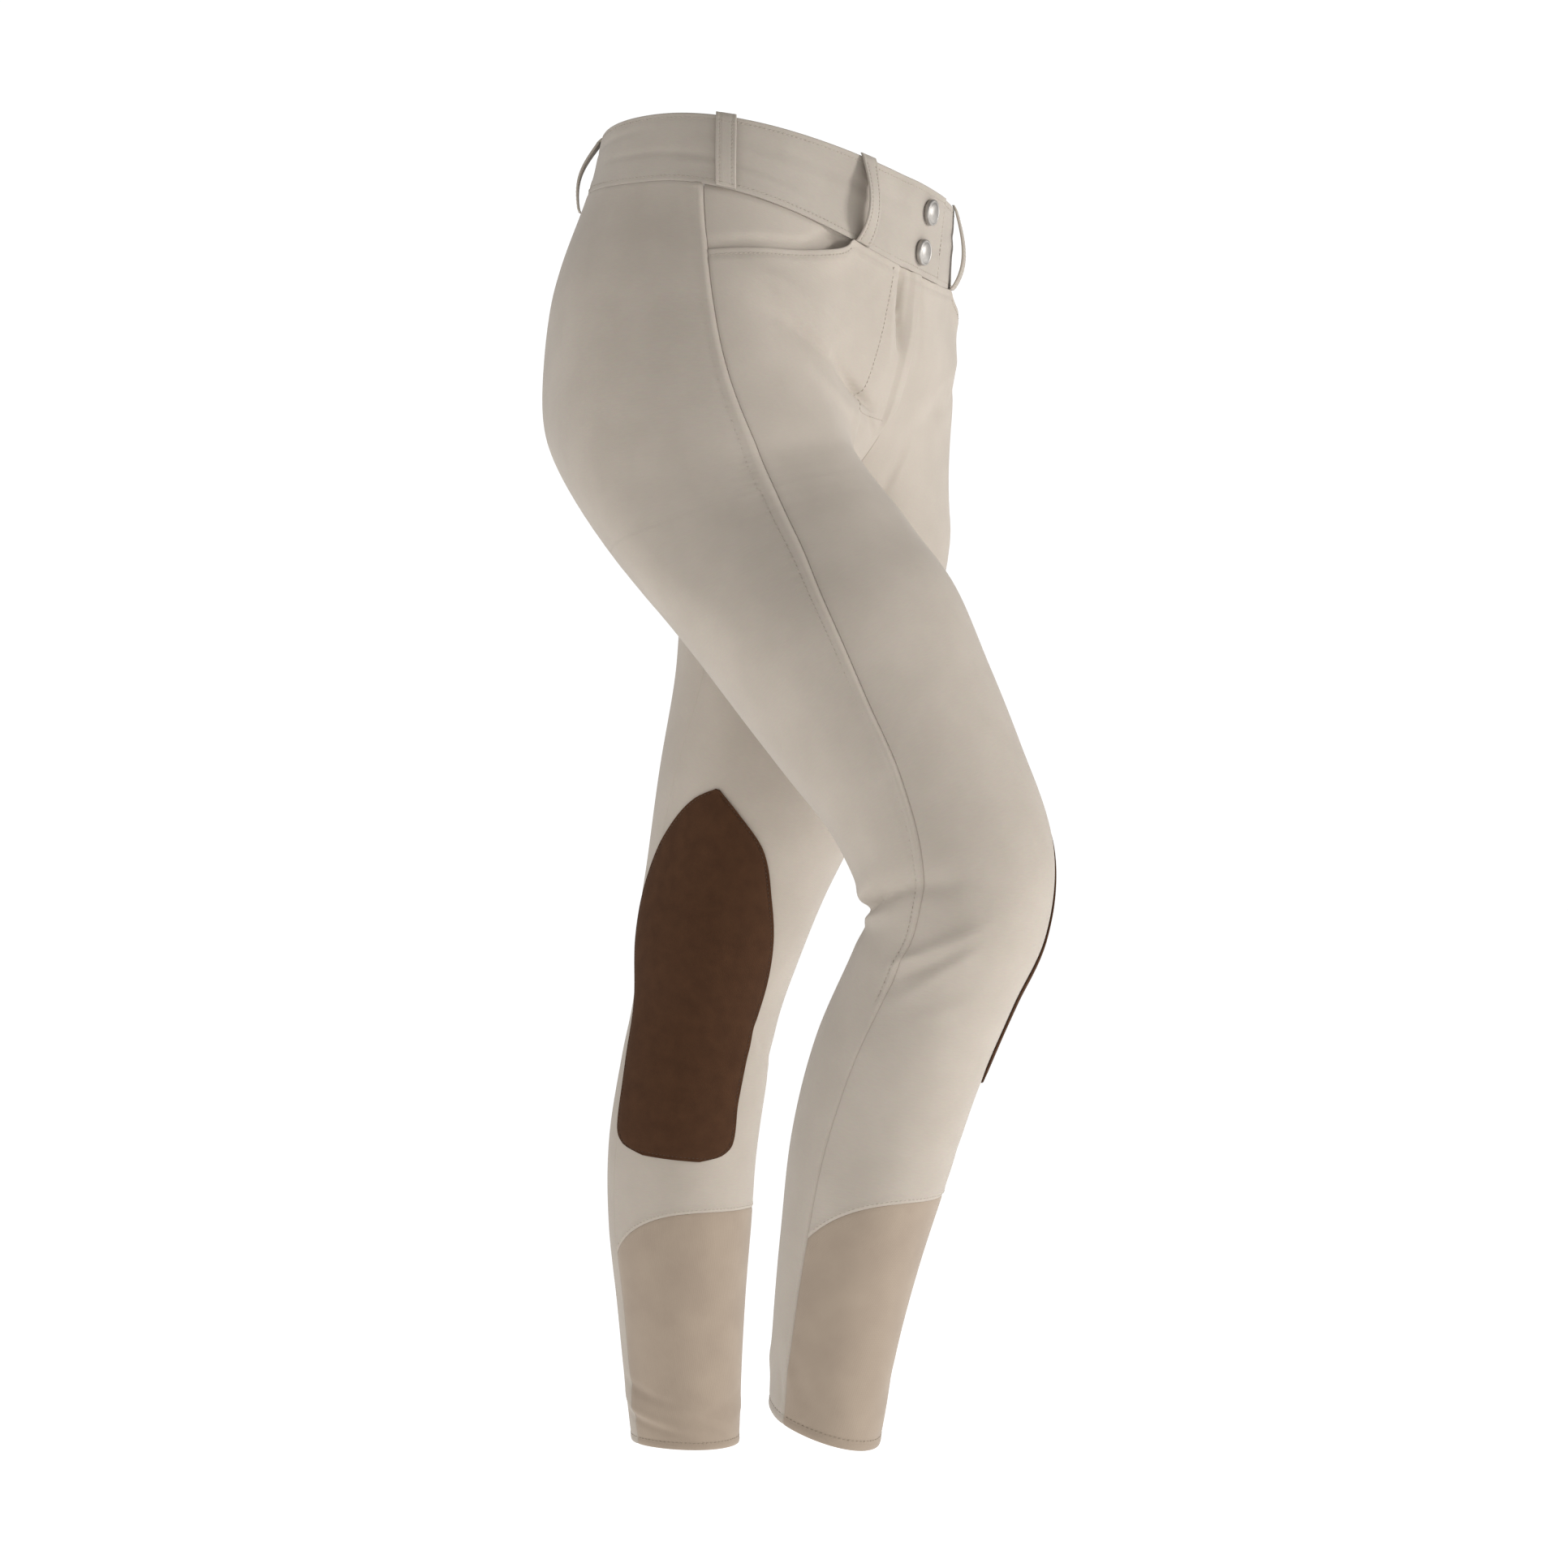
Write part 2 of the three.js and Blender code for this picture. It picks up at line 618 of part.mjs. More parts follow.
function piece(name, geometry, finish) {
  const mesh = new THREE.Mesh(geometry, new THREE.MeshStandardMaterial(finish));
  mesh.name = name;
  return mesh;
}

const breeches = new THREE.Group();
[[RIGHT, 'right'], [LEFT, 'left']].forEach(([side, word]) => {
  breeches.add(
    piece(`waistband_${word}`, bandHalf(side), MAIN_CLOTH),
    piece(`front_${word}`, frontPanel(side), MAIN_CLOTH),
    piece(`back_${word}`, backPanel(side), MAIN_CLOTH),
    piece(`pocket_${word}`, pocketFacing(side), MAIN_CLOTH),
    piece(`sock_${word}`, sockPanel(side), SOCK_KNIT),
    piece(`patch_${word}`, kneePatch(side), PATCH_SUEDE),
  );
  Object.entries(LOOPS).forEach(([place, loop]) => {
    const geometry = beltLoop(side, loop[word], loop);
    breeches.add(piece(`loop_${place}_${word}`, geometry, MAIN_CLOTH));
  });
});
SNAPS.rows.forEach(([around, down], index) => {
  breeches.add(placedSnap(SNAP_NAMES[index], around, down));
});

export default breeches;
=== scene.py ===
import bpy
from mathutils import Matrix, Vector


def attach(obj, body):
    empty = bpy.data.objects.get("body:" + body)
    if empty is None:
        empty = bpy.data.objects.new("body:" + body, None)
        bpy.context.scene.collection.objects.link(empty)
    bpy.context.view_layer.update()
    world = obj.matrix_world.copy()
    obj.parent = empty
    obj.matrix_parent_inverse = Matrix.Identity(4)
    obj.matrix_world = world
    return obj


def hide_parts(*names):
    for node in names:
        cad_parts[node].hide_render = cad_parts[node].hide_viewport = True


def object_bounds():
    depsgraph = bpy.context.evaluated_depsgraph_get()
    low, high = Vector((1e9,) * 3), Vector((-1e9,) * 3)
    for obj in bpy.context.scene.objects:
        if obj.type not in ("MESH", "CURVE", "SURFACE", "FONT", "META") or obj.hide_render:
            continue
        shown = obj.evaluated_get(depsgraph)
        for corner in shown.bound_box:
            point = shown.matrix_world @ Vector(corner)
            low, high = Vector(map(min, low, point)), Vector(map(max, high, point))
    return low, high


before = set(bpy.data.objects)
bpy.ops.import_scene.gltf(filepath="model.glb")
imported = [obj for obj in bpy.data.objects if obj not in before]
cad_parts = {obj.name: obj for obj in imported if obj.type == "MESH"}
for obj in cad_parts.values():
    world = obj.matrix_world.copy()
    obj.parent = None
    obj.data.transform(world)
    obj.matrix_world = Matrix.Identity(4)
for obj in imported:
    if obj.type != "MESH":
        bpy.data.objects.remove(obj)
CAD_BOX = [list(corner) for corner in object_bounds()]

import logging
import math
from dataclasses import dataclass, field
from enum import Enum
from typing import Callable

import bpy
import numpy as np
from mathutils import Vector

LOG = logging.getLogger("breeches")
MM = 0.001
BODY = "root"


class Side(Enum):
    """The two halves of the breeches, by the wearer's hand."""

    RIGHT = -1
    LEFT = 1

    @property
    def word(self) -> str:
        """The half's name as it stands in the names of its pieces."""
        return self.name.lower()


class Edge(Enum):
    """The four edges of a cut piece on the form."""

    START = "start"
    END = "end"
    TOP = "top"
    FOOT = "foot"


# Sizes that the part's solids have too, in millimetres down the cloth unless a comment says otherwise
CLOTH = 1.5
SUEDE = 1.2
BAND_END = 45.0
CROTCH = 270.0
HEM = 920.0
SIDE_SEAM = 0.5
SEWN_TRIM = 0.03
LAP_LIFT = CLOTH + 0.3
JOIN_START = 110.0
JOIN_POWER = 1.35
JOIN_EDGE_POWER = 3.0
JOIN_EDGE = 0.3
WAIST_TILT = 0.1
WAIST_LEAN = 8.0
TILT_LOW = -210.0
TILT_SPAN = 150.0
EASE_REACH = 160.0
EASE_EDGE = 0.16
EASE_STEP = 20.0
EASE_WEIGHTS = (0.05, 0.09, 0.125, 0.155, 0.16, 0.155, 0.125, 0.09, 0.05)
FOLD_END = 0.35
STEP_AROUND = 0.008
STEP_DOWN = 4.0


def smooth(t: np.ndarray) -> np.ndarray:
    """Eases a share from 0 to 1, flat at both ends."""
    c = np.clip(t, 0.0, 1.0)
    return c * c * (3.0 - 2.0 * c)


def mix(start: np.ndarray, end: np.ndarray, t: np.ndarray) -> np.ndarray:
    """The value a share t of the way from start to end."""
    return start + (end - start) * t


def unit(vectors: np.ndarray) -> np.ndarray:
    """The same vectors, one long."""
    return vectors / np.maximum(np.linalg.norm(vectors, axis=-1, keepdims=True), 1e-9)


@dataclass(frozen=True)
class RingTable:
    """Rows of ring sizes, read as a smooth curve down the cloth."""

    columns: tuple[str, ...]
    rows: tuple[tuple[float, ...], ...]

    def read(self, at: np.ndarray) -> dict[str, np.ndarray]:
        """Reads every column at the given places.

        Args:
            at: Values of the first column.

        Returns:
            One array for each column, by its name.
        """
        values = np.array(self.rows, float)
        keys = values[:, 0]
        last = len(keys) - 1
        places = np.clip(at, keys[0], keys[-1])
        index = np.clip(np.searchsorted(keys, places, side="right") - 1, 0, last - 1)
        before = np.maximum(np.arange(last + 1) - 1, 0)
        after = np.minimum(np.arange(last + 1) + 1, last)
        slopes = (values[after] - values[before]) / (keys[after] - keys[before])[:, None]
        span = (keys[index + 1] - keys[index])[..., None]
        t = (places[..., None] - keys[index][..., None]) / span
        leave = values[index] * (2 * t**3 - 3 * t**2 + 1) + slopes[index] * span * (t**3 - 2 * t**2 + t)
        arrive = values[index + 1] * (3 * t**2 - 2 * t**3) + slopes[index + 1] * span * (t**3 - t**2)
        found = leave + arrive
        return {name: found[..., column] for column, name in enumerate(self.columns)}


TORSO = RingTable(
    ("down", "halfWidth", "front", "back", "right", "left", "midY", "sideZ", "frontRise", "backRise", "seam"),
    (
        (0, 149, 112, 96, 0.0, 0.0, 3, 8, -17, 3, 75),
        (45, 154, 108, 104, 0.1, 0.1, 6, -35, -30, 17, 73.5),
        (100, 168, 109, 117, 0.25, 0.25, 12, -83, -27, 10, 68.5),
        (150, 177, 105, 127, 0.45, 0.32, 16, -130, -18, 4, 63.7),
        (200, 180, 105, 146, 0.75, 0.2, 17, -179, 10, 2, 58.4),
        (270, 178, 98, 158, 0.75, 0.0, 12, -249, 44, 24, 41.3),
    ),
)
LEG_COLUMNS = ("down", "x", "y", "z", "halfWidth", "front", "back", "pitch", "inseam", "seam")
RIGHT_LEG = RingTable(
    LEG_COLUMNS,
    (
        (270, -88, 12, -232, 88, 128, 46, 17, 0, 134.2),
        (330, -88, -32, -272, 88, 110, 47, 25, -14, 137.4),
        (390, -87, -89, -311, 83, 88, 68, 31, -22, 151.6),
        (450, -84, -121, -360, 74, 79, 63, 31, -28, 157),
        (500, -80, -146, -402, 67, 71, 57, 29, -32, 161.4),
        (550, -76, -166, -447, 60, 66, 57, 15, -35, 171),
        (590, -75, -169, -482, 55, 56, 54, -6, -36, 181),
        (630, -75, -156, -513, 53, 51, 54, -20, -36, 184),
        (690, -77, -132, -566, 54, 51, 54, -20, -36, 186),
        (750, -79, -113, -624, 51, 50, 51, -16, -36, 189),
        (810, -81, -99, -684, 44, 44, 45, -14, -36, 192),
        (860, -83, -90, -735, 39, 40, 40, -13, -36, 195),
        (920, -84, -83, -794, 35, 37, 37, -20, -30, 200),
    ),
)
LEFT_LEG = RingTable(
    LEG_COLUMNS,
    (
        (270, 88, 12, -232, 88, 97, 84, -10, 0, 132),
        (330, 88, 22, -288, 86, 83, 86, -16, -14, 141),
        (390, 82, 30, -342, 79, 82, 81, -18, -22, 150),
        (450, 75, 50, -402, 71, 74, 69, -17, -28, 159),
        (500, 69, 66, -457, 61, 64, 60, -15, -32, 162),
        (550, 66, 78, -507, 55, 56, 56, -12, -35, 171),
        (590, 67, 86, -547, 51, 49, 51, -11, -36, 181),
        (630, 69, 95, -587, 50, 49, 52, -10, -36, 184),
        (690, 74, 107, -645, 50, 49, 53, -6, -36, 186),
        (750, 79, 113, -700, 48, 49, 51, -3, -36, 189),
        (810, 84, 115, -755, 43, 44, 46, -1, -36, 192),
        (860, 88, 116, -800, 39, 40, 43, 0, -36, 195),
        (920, 91, 116, -850, 36, 37, 39, -2, -30, 200),
    ),
)


@dataclass(frozen=True)
class Fold:
    """A soft ridge or, where rise is below zero, a trough: from one place on a half to another."""

    around: float
    down: float
    to_around: float
    to_down: float
    half_width: float
    rise: float


def folds(*rows: tuple[float, ...]) -> tuple[Fold, ...]:
    """Folds from rows of around, down, to_around, to_down, half_width and rise."""
    return tuple(Fold(*row) for row in rows)


FOLDS = {
    Side.RIGHT: folds(
        (0.43, 114, 0.22, 130, 12, -1.8),
        (0.22, 130, 0.08, 156, 11, -2.4),
        (0.4, 92, 0.16, 122, 11, 1.6),
        (0.05, 54, 0.03, 112, 9, -1.6),
        (0.1, 175, 0.14, 240, 12, -1.6),
        (0.76, 578, 0.54, 559, 9, -5.0),
        (0.54, 559, 0.44, 562, 8, -1.6),
        (0.78, 560, 0.6, 543, 10, 2.4),
        (0.76, 597, 0.6, 580, 10, 2.2),
        (0.53, 626, 0.4, 583, 9, 1.9),
        (0.48, 640, 0.39, 596, 9, 1.6),
        (0.98, 300, 0.82, 318, 18, -0.9),
        (0.86, 872, 0.7, 884, 9, 1.0),
    ),
    Side.LEFT: folds(
        (0.42, 108, 0.23, 128, 12, -1.2),
        (0.23, 128, 0.12, 160, 11, -2.0),
        (0.1, 190, 0.16, 250, 12, -1.6),
        (0.8, 592, 0.58, 580, 9, -2.2),
        (0.32, 604, 0.37, 628, 8, -1.5),
        (0.98, 300, 0.82, 316, 18, -0.9),
        (0.94, 874, 0.16, 905, 7, 1.2),
        (0.02, 888, 0.2, 901, 6, -1.0),
        (0.62, 868, 0.8, 886, 9, 1.0),
    ),
}

# The small creases of the cloth: at the fly, groin, knees, sock seams and hems
CREASES = {
    Side.RIGHT: folds(
        (0.48, 86, 0.29, 63, 2.6, -1.1),
        (0.3, 64, 0.235, 49, 2.6, -1.4),
        (0.42, 96, 0.3, 104, 5, 0.7),
        (0.42, 117, 0.3, 123, 4.5, -0.9),
        (0.33, 121, 0.19, 133, 4, -1.7),
        (0.22, 130, 0.065, 159, 4.0, -4.4),
        (0.15, 141, 0.075, 160, 2.8, -2.0),
        (0.36, 108, 0.13, 143, 4.5, 2.0),
        (0.3, 138, 0.09, 178, 7.0, 1.4),
        (0.3, 100, 0.12, 128, 4, -0.6),
        (0.1, 158, 0.03, 184, 3.4, -1.8),
        (0.12, 152, 0.04, 176, 3.4, 1.2),
        (0.15, 168, 0.17, 206, 4, -0.9),
        (0.12, 160, 0.15, 222, 5, 0.6),
        (0.046, 47, 0.043, 76, 2.8, -7.0),
        (0.06, 48, 0.057, 80, 2.6, 1.2),
        (0.043, 68, 0.026, 106, 2.5, -5.0),
        (0.076, 52, 0.056, 118, 3.6, 1.3),
        (0.02, 50, 0.006, 110, 3.2, 1.0),
        (0.1, 60, 0.16, 90, 5, -0.4),
        (0.42, 70, 0.36, 84, 6, 0.4),
        (0.715, 579, 0.6, 564, 3.0, -3.2),
        (0.61, 565, 0.52, 560, 2.8, -2.4),
        (0.53, 560, 0.44, 564, 4.0, -0.7),
        (0.715, 592, 0.7, 582, 3.0, -1.2),
        (0.72, 590, 0.6, 575, 4.0, 1.0),
        (0.74, 566, 0.66, 552, 4.0, 1.0),
        (0.8, 590, 0.72, 604, 5, -0.8),
        (0.83, 566, 0.9, 552, 5, -0.7),
        (0.517, 622, 0.458, 597, 3.4, 1.6),
        (0.465, 599, 0.4, 584, 4.0, 1.3),
        (0.47, 637, 0.435, 611, 3.4, 1.4),
        (0.44, 613, 0.398, 594, 4.0, 1.0),
        (0.5, 632, 0.43, 600, 3.0, -1.4),
        (0.53, 648, 0.45, 622, 4.5, -0.7),
        (0.44, 650, 0.36, 622, 5, 0.5),
        (0.95, 560, 0.86, 572, 5, -0.8),
        (0.93, 548, 0.85, 556, 5, 0.6),
        (0.88, 298, 0.72, 318, 10, 0.35),
        (0.62, 868, 0.72, 898, 5, 0.7),
        (0.56, 872, 0.64, 904, 5, -0.6),
        (0.52, 870, 0.47, 902, 4, 0.9),
        (0.49, 876, 0.43, 908, 4, -0.9),
        (0.56, 882, 0.51, 910, 4, -0.8),
        (0.2, 870, 0.3, 904, 6, -0.5),
        (0.12, 866, 0.2, 902, 6, 0.5),
        (0.42, 868, 0.36, 906, 6, 0.5),
        (0.0, 876, 0.06, 908, 5, -0.5),
        (0.3, 742, 0.22, 730, 6, -0.5),
        (0.12, 300, 0.2, 330, 9, -0.6),
    ),
    Side.LEFT: folds(
        (0.48, 86, 0.29, 63, 2.8, -0.9),
        (0.42, 96, 0.3, 104, 5, 0.6),
        (0.36, 118, 0.18, 142, 4.5, -0.8),
        (0.3, 100, 0.15, 126, 5, 0.7),
        (0.12, 170, 0.15, 222, 5, 0.6),
        (0.018, 49, 0.037, 80, 3, -1.8),
        (0.037, 76, 0.05, 120, 4, -0.5),
        (0.72, 590, 0.6, 582, 4, -1.0),
        (0.74, 575, 0.62, 566, 5, 0.8),
        (0.76, 610, 0.66, 602, 5, 0.7),
        (0.253, 592, 0.312, 619, 3.4, -1.6),
        (0.235, 600, 0.29, 626, 4, 0.8),
        (0.33, 616, 0.4, 634, 4, 0.7),
        (0.9, 590, 0.82, 600, 5, -0.6),
        (0.93, 576, 0.85, 580, 5, 0.5),
        (0.88, 298, 0.72, 316, 10, 0.35),
        (0.97, 866, 0.13, 884, 3.8, -1.4),
        (0.93, 880, 0.08, 900, 3.8, 1.3),
        (0.96, 893, 0.14, 909, 3.2, -1.3),
        (0.1, 880, 0.26, 911, 3.6, -1.2),
        (0.05, 872, 0.22, 900, 4.0, 1.1),
        (0.3, 874, 0.18, 894, 4.5, -0.6),
        (0.36, 884, 0.24, 902, 4.5, 0.6),
        (0.55, 872, 0.62, 900, 5, 0.6),
        (0.7, 870, 0.78, 896, 5, -0.6),
        (0.12, 300, 0.2, 330, 9, -0.6),
    ),
}


@dataclass(frozen=True)
class WornForm:
    """The worn surface of the breeches, as a place for each share around a half and distance down it."""

    drape: float = 0.35

    def torso(self, side: Side, around: np.ndarray, down: np.ndarray) -> np.ndarray:
        """Points of the rings round the body.

        Args:
            side: The half.
            around: 0 at the front edge, 0.5 at the side seam, 1 at the back edge.
            down: Distance down the cloth from the waist edge.

        Returns:
            The points, in millimetres.
        """
        ring = TORSO.read(down)
        ahead = mix(0.0, ring["seam"], 2 * around)
        behind = mix(ring["seam"], 180.0, 2 * around - 1)
        angle = np.radians(np.where(around < SIDE_SEAM, ahead, behind))
        sine, cosine = np.sin(angle), np.cos(angle)
        full = ring["right"] if side is Side.RIGHT else ring["left"]
        depth = np.where(cosine > 0, ring["front"] * (1 + full * sine**2), ring["back"])
        rise = np.where(cosine > 0, ring["frontRise"], ring["backRise"])
        x = side.value * ring["halfWidth"] * sine
        y = ring["midY"] - depth * cosine
        z = ring["sideZ"] + rise * cosine**2
        return np.stack([x, y, z], axis=-1)

    def leg(self, side: Side, around: np.ndarray, down: np.ndarray) -> np.ndarray:
        """Points of the rings round a leg.

        Args:
            side: The half.
            around: 0 at the inseam in front, 0.5 at the side seam, 1 at the inseam behind.
            down: Distance down the cloth from the waist edge.

        Returns:
            The points, in millimetres.
        """
        ring = (RIGHT_LEG if side is Side.RIGHT else LEFT_LEG).read(down)
        ahead = mix(ring["inseam"], ring["seam"], 2 * around)
        behind = mix(ring["seam"], 360 + ring["inseam"], 2 * around - 1)
        angle = np.radians(np.where(around < SIDE_SEAM, ahead, behind))
        sine, cosine = np.sin(angle), np.cos(angle)
        reach = sine * np.where(sine > 0, ring["front"], ring["back"])
        pitch = np.radians(ring["pitch"])
        x = ring["x"] - side.value * ring["halfWidth"] * cosine
        return np.stack([x, ring["y"] - reach * np.cos(pitch), ring["z"] + reach * np.sin(pitch)], axis=-1)

    def joined(self, side: Side, around: np.ndarray, down: np.ndarray) -> np.ndarray:
        """The body rings turned into the leg's first ring above the crotch.

        Args:
            side: The half.
            around: Share round the half.
            down: Distance down the cloth.

        Returns:
            The points, in millimetres.
        """
        leg = self.leg(side, around, np.maximum(down, CROTCH))
        torso = self.torso(side, around, down)
        t = np.clip((down - JOIN_START) / (CROTCH - JOIN_START), 0, 1)
        edge = 1 - smooth(np.minimum(around, 1 - around) / JOIN_EDGE)
        share = t ** mix(JOIN_POWER, JOIN_EDGE_POWER, edge)
        points = mix(torso, leg, share[..., None])
        tilt = tilt_at(points[..., 2])
        points[..., 2] -= WAIST_TILT * tilt * points[..., 0]
        points[..., 0] += WAIST_LEAN * tilt
        return points

    def plain(self, side: Side, around: np.ndarray, down: np.ndarray) -> np.ndarray:
        """The same surface with the turn from body to leg eased along the cloth.

        Args:
            side: The half.
            around: Share round the half.
            down: Distance down the cloth.

        Returns:
            The points, in millimetres.
        """
        near = smooth(1 - np.abs(down - CROTCH) / EASE_REACH)
        inside = smooth(np.minimum(around, 1 - around) / EASE_EDGE)
        step = EASE_STEP * near * inside
        middle = (len(EASE_WEIGHTS) - 1) / 2
        total = np.zeros(around.shape + (3,))
        for index, weight in enumerate(EASE_WEIGHTS):
            total += weight * self.joined(side, around, down + step * (index - middle))
        return total

    def girth(self, side: Side, down: np.ndarray) -> np.ndarray:
        """Girth of one half or one leg, near enough for distances across the cloth."""
        torso = TORSO.read(down)
        leg = (RIGHT_LEG if side is Side.RIGHT else LEFT_LEG).read(down)
        half = math.pi * (torso["halfWidth"] + (torso["front"] + torso["back"]) / 2) / 2
        whole = math.pi * (leg["halfWidth"] + (leg["front"] + leg["back"]) / 2)
        return np.where(down < CROTCH, half, whole)

    def fold_rise(self, side: Side, around: np.ndarray, down: np.ndarray) -> np.ndarray:
        """How far the folds, creases and slow drape lift the cloth.

        Args:
            side: The half.
            around: Share round the half.
            down: Distance down the cloth.

        Returns:
            The lift in millimetres.
        """
        width = self.girth(side, down)
        total = self.drape * np.sin(6.3 * around * 3 + down / 47 + side.value)
        total += self.drape * 0.7 * np.sin(6.3 * around * 5 - down / 29 + 2.1 * side.value)
        total *= smooth((down - BAND_END) / 60)
        for fold in FOLDS[side] + CREASES[side]:
            wrap = 1.0 if fold.around - fold.to_around > SIDE_SEAM else 0.0
            home = np.where((wrap > 0) & (around > SIDE_SEAM), around - 1, around)
            start = fold.around - wrap
            run = np.stack([(fold.to_around - start) * width, np.full(width.shape, fold.to_down - fold.down)])
            here = np.stack([(home - start) * width, down - fold.down])
            t = np.clip((here * run).sum(0) / (run * run).sum(0), 0, 1)
            away = np.linalg.norm(here - run * t, axis=0) / fold.half_width
            total += fold.rise * np.exp(-away * away) * mix(FOLD_END, 1.0, np.sin(math.pi * t))
        return total

    def ways(self, side: Side, around: np.ndarray, down: np.ndarray) -> tuple[np.ndarray, np.ndarray, np.ndarray]:
        """Directions round the ring, down the cloth and out of it.

        Args:
            side: The half.
            around: Share round the half.
            down: Distance down the cloth.

        Returns:
            Three arrays of unit vectors.
        """
        ring = down >= CROTCH
        before = np.where(ring, (around - STEP_AROUND + 1) % 1, np.maximum(around - STEP_AROUND, 0))
        after = np.where(ring, (around + STEP_AROUND) % 1, np.minimum(around + STEP_AROUND, 1))
        across = unit(self.plain(side, after, down) - self.plain(side, before, down))
        above = self.plain(side, around, np.maximum(down - STEP_DOWN, 0))
        below = self.plain(side, around, np.minimum(down + STEP_DOWN, HEM))
        along = unit(below - above)
        cross = np.cross(along, across) * side.value
        length = np.linalg.norm(cross, axis=-1, keepdims=True)
        crotch = unit(np.array([-side.value, 0.0, -0.6]))
        out = unit(mix(unit(cross), crotch, 1 - smooth(length / 0.5)))
        return across, along, out

    def place(
        self,
        side: Side,
        around: np.ndarray,
        down: np.ndarray,
        lift: np.ndarray = 0.0,
        slide_around: np.ndarray = 0.0,
        slide_down: np.ndarray = 0.0,
    ) -> np.ndarray:
        """Points on the folded cloth.

        Args:
            side: The half.
            around: Share round the half, taken round again where it is below 0.
            down: Distance down the cloth.
            lift: Distance out of the cloth.
            slide_around: Distance along the ring.
            slide_down: Distance down the cloth that the edge is trimmed.

        Returns:
            The points, in millimetres.
        """
        home = np.where(down >= CROTCH, around % 1, around)
        home = np.where(around >= 1, 1.0, home)
        across, along, out = self.ways(side, home, down)
        rise = np.asarray(lift + self.fold_rise(side, home, down))
        points = self.plain(side, home, down) + out * rise[..., None]
        points = points + across * np.broadcast_to(np.asarray(slide_around, float), rise.shape)[..., None]
        return points + along * np.broadcast_to(np.asarray(slide_down, float), rise.shape)[..., None]


def tilt_at(z: np.ndarray) -> np.ndarray:
    """Share of the waist's sideways tilt at a height."""
    return smooth((z - TILT_LOW) / TILT_SPAN)


def keep_on_side(side: Side, points: np.ndarray) -> np.ndarray:
    """Keeps the points of a half on its own side of the middle seam.

    Args:
        side: The half.
        points: Points of the half.

    Returns:
        The points, moved where they crossed.
    """
    middle = WAIST_LEAN * tilt_at(points[..., 2])
    reach = np.maximum(side.value * (points[..., 0] - middle), SEWN_TRIM)
    points[..., 0] = middle + side.value * reach
    return points


FORM = WornForm()


